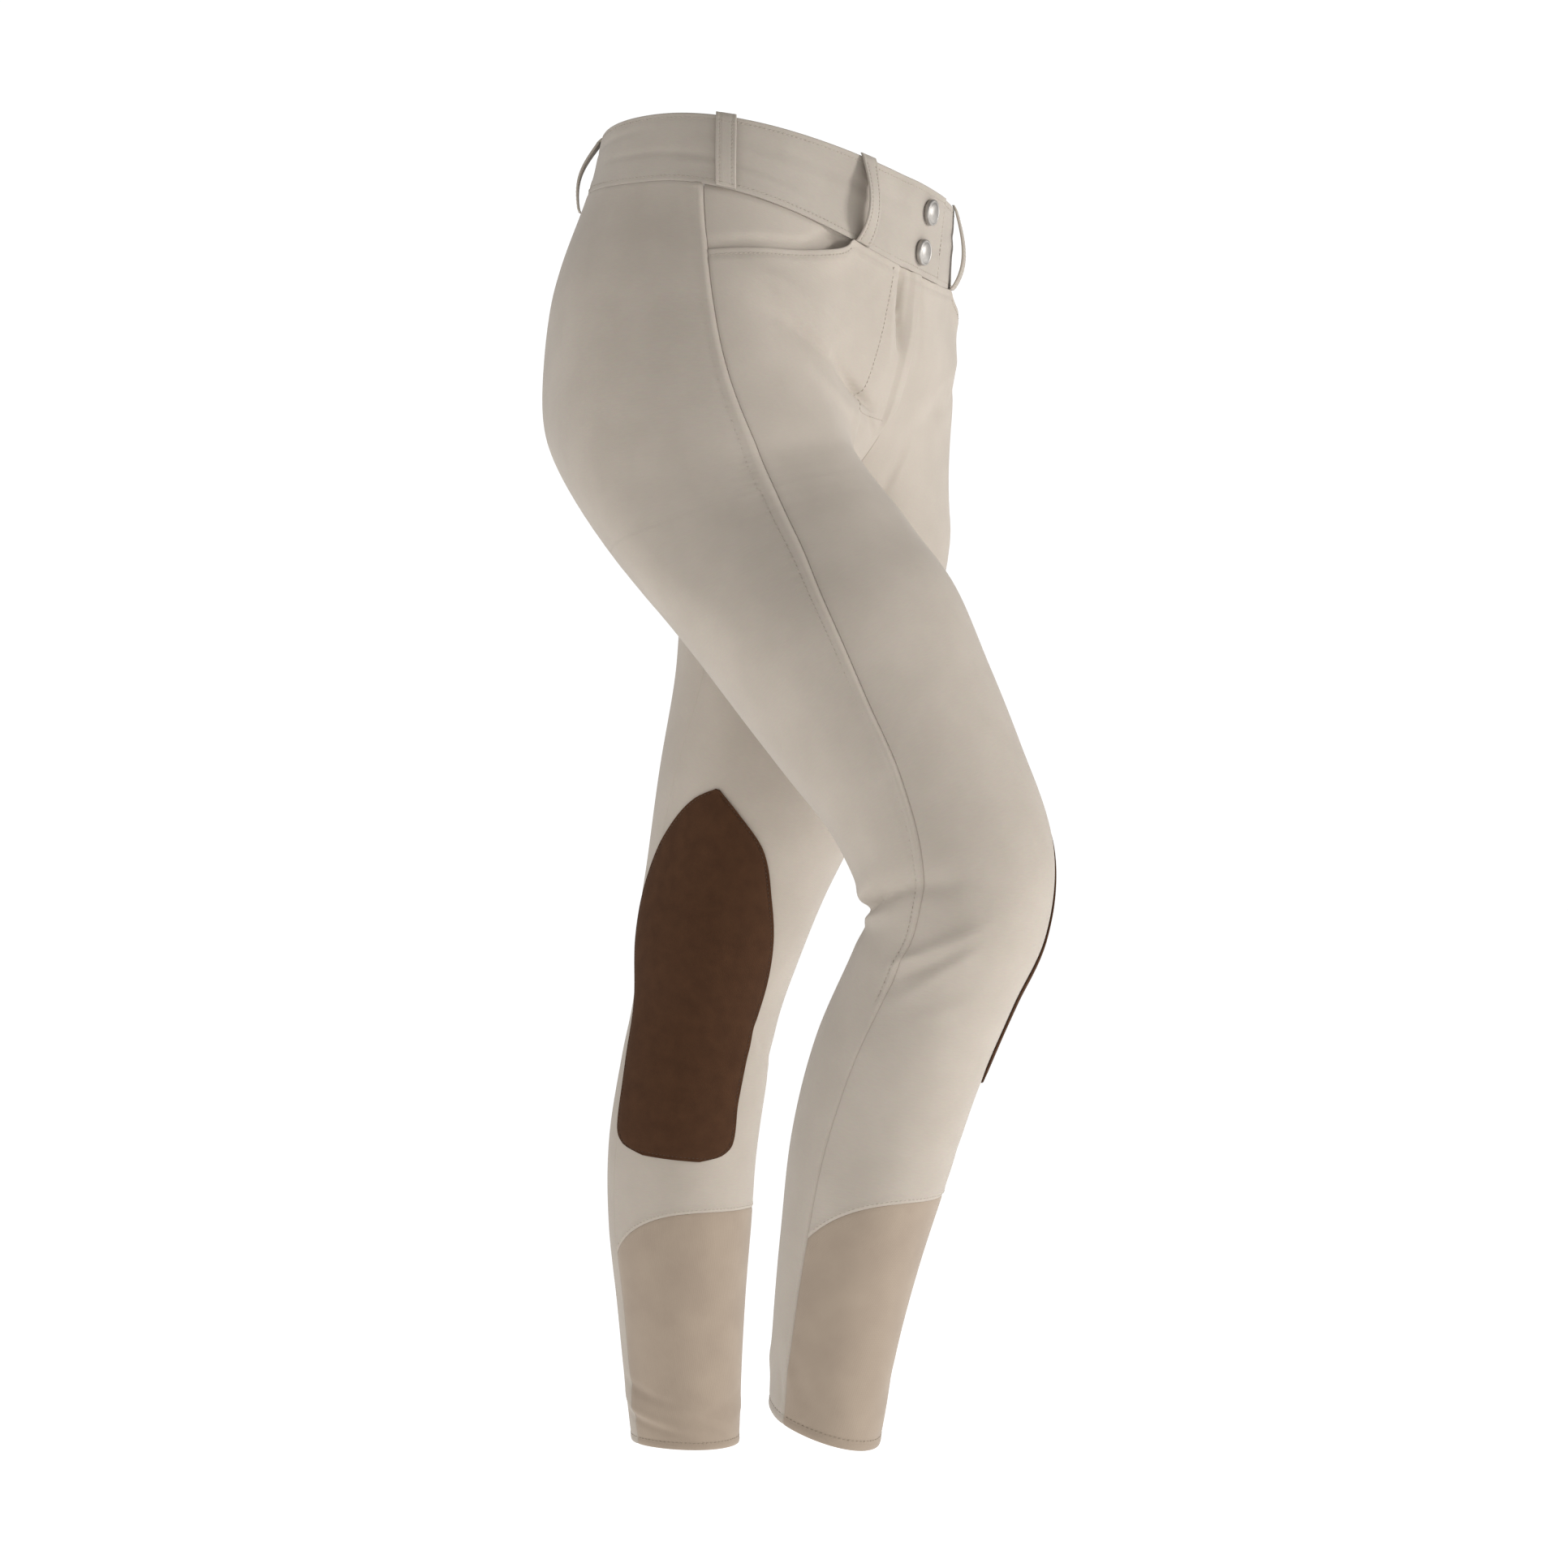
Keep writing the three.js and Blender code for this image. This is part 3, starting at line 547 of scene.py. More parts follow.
class Shader:
    """A small helper that adds and joins the nodes of one material."""

    def __init__(self, name: str) -> None:
        """Makes an empty material with its output.

        Args:
            name: The finish's name.
        """
        self.material = bpy.data.materials.new(name)
        self.material.use_nodes = True
        self.tree = self.material.node_tree
        self.tree.nodes.clear()
        self.output = self.tree.nodes.new("ShaderNodeOutputMaterial")
        self.surface = self.tree.nodes.new("ShaderNodeBsdfPrincipled")
        self.join(self.surface, "BSDF", self.output, "Surface")

    def node(self, kind: str, **values: object) -> bpy.types.Node:
        """Adds a node and sets its properties and inputs by name.

        Args:
            kind: The node's type.
            values: Properties, or inputs with their spaces written as underscores.

        Returns:
            The node.
        """
        made = self.tree.nodes.new(kind)
        for name, value in values.items():
            if hasattr(made, name):
                setattr(made, name, value)
            else:
                made.inputs[name.replace("_", " ")].default_value = value
        return made

    def join(self, source: bpy.types.Node, output: str | int, target: bpy.types.Node, target_input: str | int) -> None:
        """Links one socket to another."""
        self.tree.links.new(source.outputs[output], target.inputs[target_input])

    def cloth_space(self, scale: tuple[float, float, float], turn: float = 0.0) -> bpy.types.Node:
        """Coordinates of the piece's own cloth map, in millimetres, scaled and turned.

        Args:
            scale: Scale of the pattern.
            turn: Turn of the pattern in degrees.

        Returns:
            The mapping node.
        """
        source = self.node("ShaderNodeUVMap", uv_map="cloth")
        mapping = self.node("ShaderNodeMapping")
        mapping.inputs["Scale"].default_value = scale
        mapping.inputs["Rotation"].default_value = (0.0, 0.0, math.radians(turn))
        self.join(source, "UV", mapping, "Vector")
        return mapping

    def object_space(self, scale: float) -> bpy.types.Node:
        """Object coordinates in millimetres, scaled."""
        source = self.node("ShaderNodeTexCoord")
        mapping = self.node("ShaderNodeMapping")
        mapping.inputs["Scale"].default_value = (scale / MM,) * 3
        self.join(source, "Object", mapping, "Vector")
        return mapping

    def noise(self, space: bpy.types.Node, size: float, detail: float = 3.0) -> bpy.types.Node:
        """Soft noise with blotches of about a size in millimetres."""
        made = self.node("ShaderNodeTexNoise", Scale=1.0 / size, Detail=detail)
        self.join(space, "Vector", made, "Vector")
        return made

    def bands(self, space: bpy.types.Node, pitch: float, distortion: float = 0.6) -> bpy.types.Node:
        """Parallel ribs a pitch in millimetres apart."""
        made = self.node("ShaderNodeTexWave", Scale=2 * math.pi / (20.0 * pitch), Distortion=distortion)
        self.join(space, "Vector", made, "Vector")
        return made

    def ramp(self, source: bpy.types.Node, low: tuple[float, ...], high: tuple[float, ...], ends: tuple[float, float]) -> bpy.types.Node:
        """Turns a value into a colour between two.

        Args:
            source: The node whose first output is the value.
            low: Linear colour at the lower end.
            high: Linear colour at the upper end.
            ends: The values of the two ends.

        Returns:
            The colour ramp.
        """
        made = self.node("ShaderNodeValToRGB")
        made.color_ramp.elements[0].position, made.color_ramp.elements[1].position = ends
        made.color_ramp.elements[0].color = (*low, 1.0)
        made.color_ramp.elements[1].color = (*high, 1.0)
        self.join(source, "Fac" if "Fac" in source.outputs else 0, made, "Fac")
        return made

    def bump(self, height: bpy.types.Node, strength: float, distance: float, under: bpy.types.Node | None = None) -> bpy.types.Node:
        """Relief from a value, on top of an earlier one.

        Args:
            height: The node whose value is the height.
            strength: Share of the relief used.
            distance: Height of the relief in millimetres.
            under: An earlier bump that this one adds to.

        Returns:
            The bump node.
        """
        made = self.node("ShaderNodeBump", Strength=strength, Distance=distance * MM)
        self.join(height, "Fac" if "Fac" in height.outputs else 0, made, "Height")
        if under is not None:
            self.join(under, "Normal", made, "Normal")
        return made


def linear(red: float, green: float, blue: float) -> tuple[float, float, float]:
    """Linear colour from 0 to 255 display values."""
    return tuple(((c / 255 + 0.055) / 1.055) ** 2.4 if c > 10 else c / 255 / 12.92 for c in (red, green, blue))


@dataclass(frozen=True)
class TwillFinish:
    """Fine stretch twill: matt, with a diagonal rib, a little slub and soft shade changes."""

    name: str = "stretch_twill"
    slot: str = "main_cloth"
    shade: tuple[float, float, float] = (184, 173, 160)
    pale: tuple[float, float, float] = (190, 179, 166)
    rib: float = 0.75
    rib_turn: float = 63.0
    roughness: float = 0.86

    def material(self) -> bpy.types.Material:
        """Builds the material once and gives it again later."""
        if self.name in bpy.data.materials:
            return bpy.data.materials[self.name]
        shader = Shader(self.name)
        cloth = shader.cloth_space((1.0, 1.0, 1.0))
        turned = shader.cloth_space((1.0, 1.0, 1.0), self.rib_turn)
        place = shader.object_space(1.0)
        blotch = shader.noise(place, 38.0, 4.0)
        colour = shader.ramp(blotch, linear(*self.shade), linear(*self.pale), (0.36, 0.66))
        slub = shader.noise(shader.cloth_space((0.28, 1.6, 1.0)), 1.0, 2.0)
        tint = shader.node("ShaderNodeMix", data_type="RGBA", blend_type="MULTIPLY")
        tint.inputs[0].default_value = 0.16
        shader.join(colour, "Color", tint, 6)
        shader.join(slub, "Color", tint, 7)
        grey = shader.node("ShaderNodeHueSaturation", Saturation=0.96)
        shader.join(tint, 2, grey, "Color")
        shader.join(grey, "Color", shader.surface, "Base Color")
        ribs = shader.bands(turned, self.rib, 0.9)
        relief = shader.bump(ribs, 0.35, 0.06)
        relief = shader.bump(slub, 0.25, 0.08, relief)
        relief = shader.bump(shader.noise(cloth, 5.5, 3.0), 0.3, 0.18, relief)
        shader.join(relief, "Normal", shader.surface, "Normal")
        shader.surface.inputs["Roughness"].default_value = self.roughness
        shader.surface.inputs["Sheen Weight"].default_value = 0.18
        shader.surface.inputs["Sheen Roughness"].default_value = 0.45
        shader.surface.inputs["Specular IOR Level"].default_value = 0.3
        return shader.material


@dataclass(frozen=True)
class KnitFinish:
    """Smooth stretch knit of the sock bottoms: tan, matt, with fine wales down the leg."""

    name: str = "stretch_knit"
    slot: str = "sock_knit"
    shade: tuple[float, float, float] = (158, 142, 126)
    pale: tuple[float, float, float] = (166, 150, 133)
    wale: float = 1.1
    roughness: float = 0.9

    def material(self) -> bpy.types.Material:
        """Builds the material once and gives it again later."""
        if self.name in bpy.data.materials:
            return bpy.data.materials[self.name]
        shader = Shader(self.name)
        cloth = shader.cloth_space((1.0, 1.0, 1.0))
        blotch = shader.noise(shader.object_space(1.0), 30.0, 4.0)
        colour = shader.ramp(blotch, linear(*self.shade), linear(*self.pale), (0.34, 0.68))
        shader.join(colour, "Color", shader.surface, "Base Color")
        wales = shader.bands(cloth, self.wale, 0.3)
        courses = shader.bands(shader.cloth_space((1.0, 1.0, 1.0), 90.0), 0.8, 0.6)
        relief = shader.bump(wales, 0.4, 0.08)
        relief = shader.bump(courses, 0.25, 0.05, relief)
        relief = shader.bump(shader.noise(cloth, 6.0, 3.0), 0.3, 0.2, relief)
        shader.join(relief, "Normal", shader.surface, "Normal")
        shader.surface.inputs["Roughness"].default_value = self.roughness
        shader.surface.inputs["Sheen Weight"].default_value = 0.22
        shader.surface.inputs["Sheen Roughness"].default_value = 0.5
        shader.surface.inputs["Specular IOR Level"].default_value = 0.25
        return shader.material


@dataclass(frozen=True)
class SuedeFinish:
    """Brushed suede: dark brown with a short nap that lies this way and that."""

    name: str = "brushed_suede"
    slot: str = "patch_suede"
    shade: tuple[float, float, float] = (68, 45, 30)
    pale: tuple[float, float, float] = (76, 51, 34)
    roughness: float = 0.96

    def material(self) -> bpy.types.Material:
        """Builds the material once and gives it again later."""
        if self.name in bpy.data.materials:
            return bpy.data.materials[self.name]
        shader = Shader(self.name)
        place = shader.object_space(1.0)
        brushed = shader.noise(shader.cloth_space((1.0, 0.8, 1.0)), 9.0, 6.0)
        colour = shader.ramp(brushed, linear(*self.shade), linear(*self.pale), (0.32, 0.72))
        nap = shader.noise(place, 0.7, 4.0)
        tint = shader.node("ShaderNodeMix", data_type="RGBA", blend_type="OVERLAY")
        tint.inputs[0].default_value = 0.12
        shader.join(colour, "Color", tint, 6)
        shader.join(nap, "Color", tint, 7)
        shader.join(tint, 2, shader.surface, "Base Color")
        relief = shader.bump(nap, 0.5, 0.25)
        relief = shader.bump(brushed, 0.25, 0.2, relief)
        shader.join(relief, "Normal", shader.surface, "Normal")
        shader.surface.inputs["Roughness"].default_value = self.roughness
        shader.surface.inputs["Sheen Weight"].default_value = 0.12
        shader.surface.inputs["Sheen Roughness"].default_value = 0.4
        shader.surface.inputs["Sheen Tint"].default_value = (*linear(150, 120, 95), 1.0)
        shader.surface.inputs["Specular IOR Level"].default_value = 0.15
        return shader.material


@dataclass(frozen=True)
class ThreadFinish:
    """Sewing thread with a soft shine."""

    name: str
    colour: tuple[float, float, float]
    slot: str = "main_cloth"
    roughness: float = 0.62

    def material(self) -> bpy.types.Material:
        """Builds the material once and gives it again later."""
        if self.name in bpy.data.materials:
            return bpy.data.materials[self.name]
        shader = Shader(self.name)
        place = shader.object_space(1.0)
        fleck = shader.noise(place, 1.4, 2.0)
        low = linear(*(0.9 * c for c in self.colour))
        colour = shader.ramp(fleck, low, linear(*self.colour), (0.3, 0.7))
        shader.join(colour, "Color", shader.surface, "Base Color")
        relief = shader.bump(shader.noise(place, 0.25, 2.0), 0.4, 0.05)
        shader.join(relief, "Normal", shader.surface, "Normal")
        shader.surface.inputs["Roughness"].default_value = self.roughness
        return shader.material


@dataclass(frozen=True)
class SatinMetalFinish:
    """Pale satin metal with a soft cloud of tone, finely changing roughness and a faint fine grain."""

    name: str = "satin_metal"
    slot: str = "snap_metal"
    shade: tuple[float, float, float] = (158, 154, 149)
    pale: tuple[float, float, float] = (180, 176, 171)

    def material(self) -> bpy.types.Material:
        """Builds the material once and gives it again later."""
        if self.name in bpy.data.materials:
            return bpy.data.materials[self.name]
        shader = Shader(self.name)
        place = shader.object_space(1.0)
        cloud = shader.noise(place, 5.0, 3.0)
        colour = shader.ramp(cloud, linear(*self.shade), linear(*self.pale), (0.35, 0.65))
        shader.join(colour, "Color", shader.surface, "Base Color")
        rough = shader.node("ShaderNodeMapRange", To_Min=0.44, To_Max=0.56)
        shader.join(shader.noise(place, 0.8, 3.0), "Fac", rough, "Value")
        shader.join(rough, "Result", shader.surface, "Roughness")
        relief = shader.bump(shader.noise(place, 0.4, 3.0), 0.2, 0.03)
        shader.join(relief, "Normal", shader.surface, "Normal")
        shader.surface.inputs["Metallic"].default_value = 0.8
        return shader.material


TWILL = TwillFinish()
# Band and loop twill: its rib is turned, as the band is cut across the cloth. Its colour is darker than the main
# twill's, and that is painted shade for the dimmer light on the band and loops.
SHADED_BAND_TWILL = TwillFinish("band_twill_painted_shade", shade=(177, 167, 155), pale=(183, 173, 161), rib_turn=27.0)
KNIT = KnitFinish()
SUEDE_NAP = SuedeFinish()
METAL = SatinMetalFinish()
CLOTH_THREAD = ThreadFinish("cloth_thread", (182, 172, 158))
SOCK_THREAD = ThreadFinish("sock_thread", (160, 146, 126), "sock_knit")
SUEDE_THREAD = ThreadFinish("suede_thread", (72, 50, 34), "patch_suede")


def spaced(start: float, end: float, step: float, fine: tuple[float, ...]) -> np.ndarray:
    """Values from start to end, set close at both ends and a step apart between.

    Args:
        start: First value.
        end: Last value.
        step: Largest distance between two values.
        fine: Distances from each end where more values stand.

    Returns:
        The values in order.
    """
    first = start + fine[-1]
    last = end - fine[-1]
    count = max(int(math.ceil((last - first) / step)), 1)
    middle = np.linspace(first, last, count + 1)
    return np.concatenate([[start], start + np.array(fine[:-1]), middle, end - np.array(fine[:-1])[::-1], [end]])


def mesh_piece(name: str, points: np.ndarray, faces: list[tuple[int, ...]], uv: np.ndarray | None, finish: object) -> bpy.types.Object:
    """Makes a smooth piece from points in millimetres.

    Args:
        name: The piece's name.
        points: Its points.
        faces: Its faces, by point number.
        uv: Place of each point on the cloth, or None.
        finish: The finish it is dressed in.

    Returns:
        The piece.
    """
    mesh = bpy.data.meshes.new(name)
    mesh.from_pydata((points * MM).tolist(), [], faces)
    if uv is not None:
        layer = mesh.uv_layers.new(name="cloth")
        order = np.empty(len(mesh.loops), np.int32)
        mesh.loops.foreach_get("vertex_index", order)
        layer.data.foreach_set("uv", uv[order].astype(np.float32).ravel())
    mesh.polygons.foreach_set("use_smooth", np.ones(len(mesh.polygons), bool))
    mesh.materials.append(finish.material())
    mesh.update()
    piece = bpy.data.objects.new(name, mesh)
    bpy.context.scene.collection.objects.link(piece)
    return piece


def cloth_wall(name: str, outer: np.ndarray, inner: np.ndarray, uv: np.ndarray, finish: object) -> bpy.types.Object:
    """Closes an outer and an inner grid of points into a thin wall.

    Args:
        name: The piece's name.
        outer: Outer points, rows by columns.
        inner: Inner points, rows by columns.
        uv: Place of each point on the cloth, rows by columns.
        finish: The finish it is dressed in.

    Returns:
        The piece.
    """
    rows, columns = outer.shape[:2]
    index = np.arange(rows * columns).reshape(rows, columns)
    a, b, c, d = index[:-1, :-1], index[1:, :-1], index[1:, 1:], index[:-1, 1:]
    layer = rows * columns
    parts = [np.stack([a, b, c, d], -1).reshape(-1, 4), np.stack([a, d, c, b], -1).reshape(-1, 4) + layer]
    left, right, top, foot = index[:, 0], index[:, -1], index[0], index[-1]
    for line, turned in ((left, False), (right, True), (top, True), (foot, False)):
        near, far = line[:-1], line[1:]
        quads = np.stack([near, near + layer, far + layer, far], -1)
        parts.append(quads[:, ::-1] if turned else quads)
    faces = np.concatenate(parts)
    points = np.concatenate([outer.reshape(-1, 3), inner.reshape(-1, 3)])
    corner = points[faces]
    volume = np.einsum("ij,ij->i", corner[:, 0], np.cross(corner[:, 1], corner[:, 2])).sum()
    volume += np.einsum("ij,ij->i", corner[:, 0], np.cross(corner[:, 2], corner[:, 3])).sum()
    if volume < 0:
        faces = faces[:, ::-1]
    flat = np.concatenate([uv.reshape(-1, 2)] * 2)
    return mesh_piece(name, points, faces.tolist(), flat, finish)


class StitchTree:
    """The node tree that sets one stitch after another along a sewn line."""

    SIZES = {"Spacing": 3.0, "Stitch Length": 2.2, "Thread Width": 0.5, "Thread Height": 0.32, "Unevenness": 0.07}

    def __init__(self) -> None:
        """Builds the tree with its named inputs."""
        self.tree = bpy.data.node_groups.new("StitchRun", "GeometryNodeTree")
        face = self.tree.interface
        face.new_socket(name="Line", in_out="INPUT", socket_type="NodeSocketGeometry")
        for name, size in self.SIZES.items():
            socket = face.new_socket(name=name, in_out="INPUT", socket_type="NodeSocketFloat")
            socket.default_value = size
        seed = face.new_socket(name="Seed", in_out="INPUT", socket_type="NodeSocketInt")
        seed.default_value = 7
        face.new_socket(name="Thread", in_out="INPUT", socket_type="NodeSocketMaterial")
        face.new_socket(name="Stitches", in_out="OUTPUT", socket_type="NodeSocketGeometry")
        self.fill()

    def node(self, kind: str, **properties: object) -> bpy.types.Node:
        """Adds a node with its properties set."""
        made = self.tree.nodes.new(kind)
        for name, value in properties.items():
            setattr(made, name, value)
        return made

    def fill(self) -> None:
        """Adds the nodes: line, points, thread, its turn and size, and the plain mesh."""
        link = self.tree.links.new
        given = self.node("NodeGroupInput")
        curve = self.node("GeometryNodeMeshToCurve")
        link(given.outputs["Line"], curve.inputs[0])
        even = self.node("GeometryNodeResampleCurve")
        even.mode = "LENGTH"
        link(curve.outputs[0], even.inputs["Curve"])
        link(self.scaled(given.outputs["Spacing"], MM), even.inputs["Length"])
        thread = self.node("GeometryNodeMeshUVSphere")
        thread.inputs["Segments"].default_value = 6
        thread.inputs["Rings"].default_value = 5
        thread.inputs["Radius"].default_value = 1.0
        tangent = self.node("GeometryNodeInputTangent")
        out = self.node("GeometryNodeInputNamedAttribute", data_type="FLOAT_VECTOR")
        out.inputs["Name"].default_value = "out"
        along = self.node("FunctionNodeAlignRotationToVector", axis="X")
        link(tangent.outputs[0], along.inputs["Vector"])
        flat = self.node("FunctionNodeAlignRotationToVector", axis="Z", pivot_axis="X")
        link(along.outputs[0], flat.inputs["Rotation"])
        link(out.outputs["Attribute"], flat.inputs["Vector"])
        uneven = self.node("FunctionNodeRandomValue", data_type="FLOAT")
        low = self.node("ShaderNodeMath", operation="SUBTRACT")
        low.inputs[0].default_value = 1.0
        link(given.outputs["Unevenness"], low.inputs[1])
        link(low.outputs[0], uneven.inputs[2])
        uneven.inputs[3].default_value = 1.0
        link(given.outputs["Seed"], uneven.inputs["Seed"])
        length = self.node("ShaderNodeMath", operation="MULTIPLY")
        link(self.scaled(given.outputs["Stitch Length"], MM / 2), length.inputs[0])
        link(uneven.outputs[1], length.inputs[1])
        size = self.node("ShaderNodeCombineXYZ")
        link(length.outputs[0], size.inputs["X"])
        link(self.scaled(given.outputs["Thread Width"], MM / 2), size.inputs["Y"])
        link(self.scaled(given.outputs["Thread Height"], MM), size.inputs["Z"])
        placed = self.node("GeometryNodeInstanceOnPoints")
        link(even.outputs[0], placed.inputs["Points"])
        link(thread.outputs["Mesh"], placed.inputs["Instance"])
        link(flat.outputs[0], placed.inputs["Rotation"])
        link(size.outputs[0], placed.inputs["Scale"])
        real = self.node("GeometryNodeRealizeInstances")
        link(placed.outputs[0], real.inputs[0])
        dressed = self.node("GeometryNodeSetMaterial")
        link(real.outputs[0], dressed.inputs["Geometry"])
        link(given.outputs["Thread"], dressed.inputs["Material"])
        result = self.node("NodeGroupOutput")
        link(dressed.outputs[0], result.inputs["Stitches"])

    def scaled(self, socket: bpy.types.NodeSocket, factor: float) -> bpy.types.NodeSocket:
        """A socket's value times a fixed factor."""
        times = self.node("ShaderNodeMath", operation="MULTIPLY")
        times.inputs[1].default_value = factor
        self.tree.links.new(socket, times.inputs[0])
        return times.outputs[0]

    def identifier(self, name: str) -> str:
        """The identifier of a named input."""
        for item in self.tree.interface.items_tree:
            if item.item_type == "SOCKET" and item.in_out == "INPUT" and item.name == name:
                return item.identifier
        raise KeyError(name)


@dataclass
class SewnLine:
    """A path of stitches on the cloth, as points and the way out of the cloth at each."""

    points: np.ndarray
    out: np.ndarray


@dataclass
class Stitching:
    """All stitches of one piece in one thread."""

    name: str
    lines: list[SewnLine]
    thread: ThreadFinish
    spacing: float = 3.0
    stitch_length: float = 2.2
    thread_width: float = 0.5
    thread_height: float = 0.32
    seed: int = 7

    def build(self, tree: StitchTree) -> bpy.types.Object:
        """Runs the stitch tree along the lines and keeps its plain mesh.

        Args:
            tree: The stitch tree.

        Returns:
            The stitches as one piece.
        """
        points = np.concatenate([line.points for line in self.lines]) * MM
        out = np.concatenate([line.out for line in self.lines])
        edges, start = [], 0
        for line in self.lines:
            count = len(line.points)
            edges += [(start + i, start + i + 1) for i in range(count - 1)]
            start += count
        path = bpy.data.meshes.new(self.name + "_line")
        path.from_pydata(points.tolist(), edges, [])
        layer = path.attributes.new("out", "FLOAT_VECTOR", "POINT")
        layer.data.foreach_set("vector", out.astype(np.float32).ravel())
        carrier = bpy.data.objects.new(self.name + "_line", path)
        bpy.context.scene.collection.objects.link(carrier)
        modifier = carrier.modifiers.new("stitches", "NODES")
        modifier.node_group = tree.tree
        sizes = {
            "Spacing": self.spacing,
            "Stitch Length": self.stitch_length,
            "Thread Width": self.thread_width,
            "Thread Height": self.thread_height,
        }
        for name, value in sizes.items():
            modifier[tree.identifier(name)] = float(value)
        modifier[tree.identifier("Seed")] = self.seed
        modifier[tree.identifier("Thread")] = self.thread.material()
        bpy.context.view_layer.update()
        graph = bpy.context.evaluated_depsgraph_get()
        mesh = bpy.data.meshes.new_from_object(carrier.evaluated_get(graph))
        mesh.name = self.name
        mesh.polygons.foreach_set("use_smooth", np.ones(len(mesh.polygons), bool))
        carrier.modifiers.clear()
        bpy.data.objects.remove(carrier)
        piece = bpy.data.objects.new(self.name, mesh)
        bpy.context.scene.collection.objects.link(piece)
        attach(piece, BODY)
        return piece


@dataclass(frozen=True)
class Relief:
    """A ridge or groove along one edge of a piece."""

    edge: Edge
    distance: float
    half_width: float
    rise: float
    start: float = -1.0
    end: float = 2000.0
    ripple: float = 0.0
    wave: float = 7.0


@dataclass(frozen=True)
class Cut:
    """The flat cut of a piece: its width and length in metres and its area in square metres."""

    width: float
    length: float
    area: float


ROUND_RIM = 0.7
SEWN_FALL = 0.12
FREE_FALL = 0.5
FINE_ACROSS = (0.0006, 0.0013, 0.0022, 0.0036, 0.0055, 0.008, 0.0115)
FINE_DOWN = (0.3, 0.65, 1.1, 1.8, 2.8, 4.0, 5.5, 7.0)


def rim_fall(distance: np.ndarray, depth: float, reach: float = ROUND_RIM) -> np.ndarray:
    """How far a rounded edge falls away from its face.

    Args:
        distance: Distance from the edge in millimetres.
        depth: Fall at the edge itself.
        reach: Distance over which the edge is round.

    Returns:
        The fall in millimetres.
    """
    rim = np.clip(distance / reach, 0, 1)
    return depth * (1 - np.sqrt(np.clip(1 - (1 - rim) ** 2, 0, 1)))


@dataclass
class ClothPiece:
    """One cut piece of cloth on the worn form."""

    side: Side
    tree: StitchTree
    made: bpy.types.Object | None = field(default=None, init=False)

    @property
    def name(self) -> str:
        """The piece's name, which is also its node's with a word added."""
        raise NotImplementedError

    def finish(self, finish: object, cut: Cut, node: str, rests_on: list[str]) -> None:
        """Makes the piece stand for its node: hangs it on the body and hides the node's solid.

        Args:
            finish: The finish it is dressed in; not used.
            cut: Its flat cut; not used.
            node: The CAD node it stands for.
            rests_on: The nodes that it is sewn to; not used.
        """
        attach(self.made, BODY)
        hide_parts(node)
        LOG.info("%s: %d faces", self.made.name, len(self.made.data.polygons))

    def line(self, around: np.ndarray, down: np.ndarray, lift: float, side: Side | None = None) -> SewnLine:
        """A sewn line through places on the cloth.

        Args:
            around: Shares round the half.
            down: Distances down the cloth.
            lift: Height of the line over the plain cloth.
            side: The half, if it isn't the piece's own.

        Returns:
            The line.
        """
        half = side or self.side
        around, down = np.broadcast_arrays(np.asarray(around, float), np.asarray(down, float))
        home = np.where(down >= CROTCH, around % 1, around)
        out = FORM.ways(half, home, down)[2]
        return SewnLine(FORM.place(half, around, down, np.full(around.shape, lift)), out)


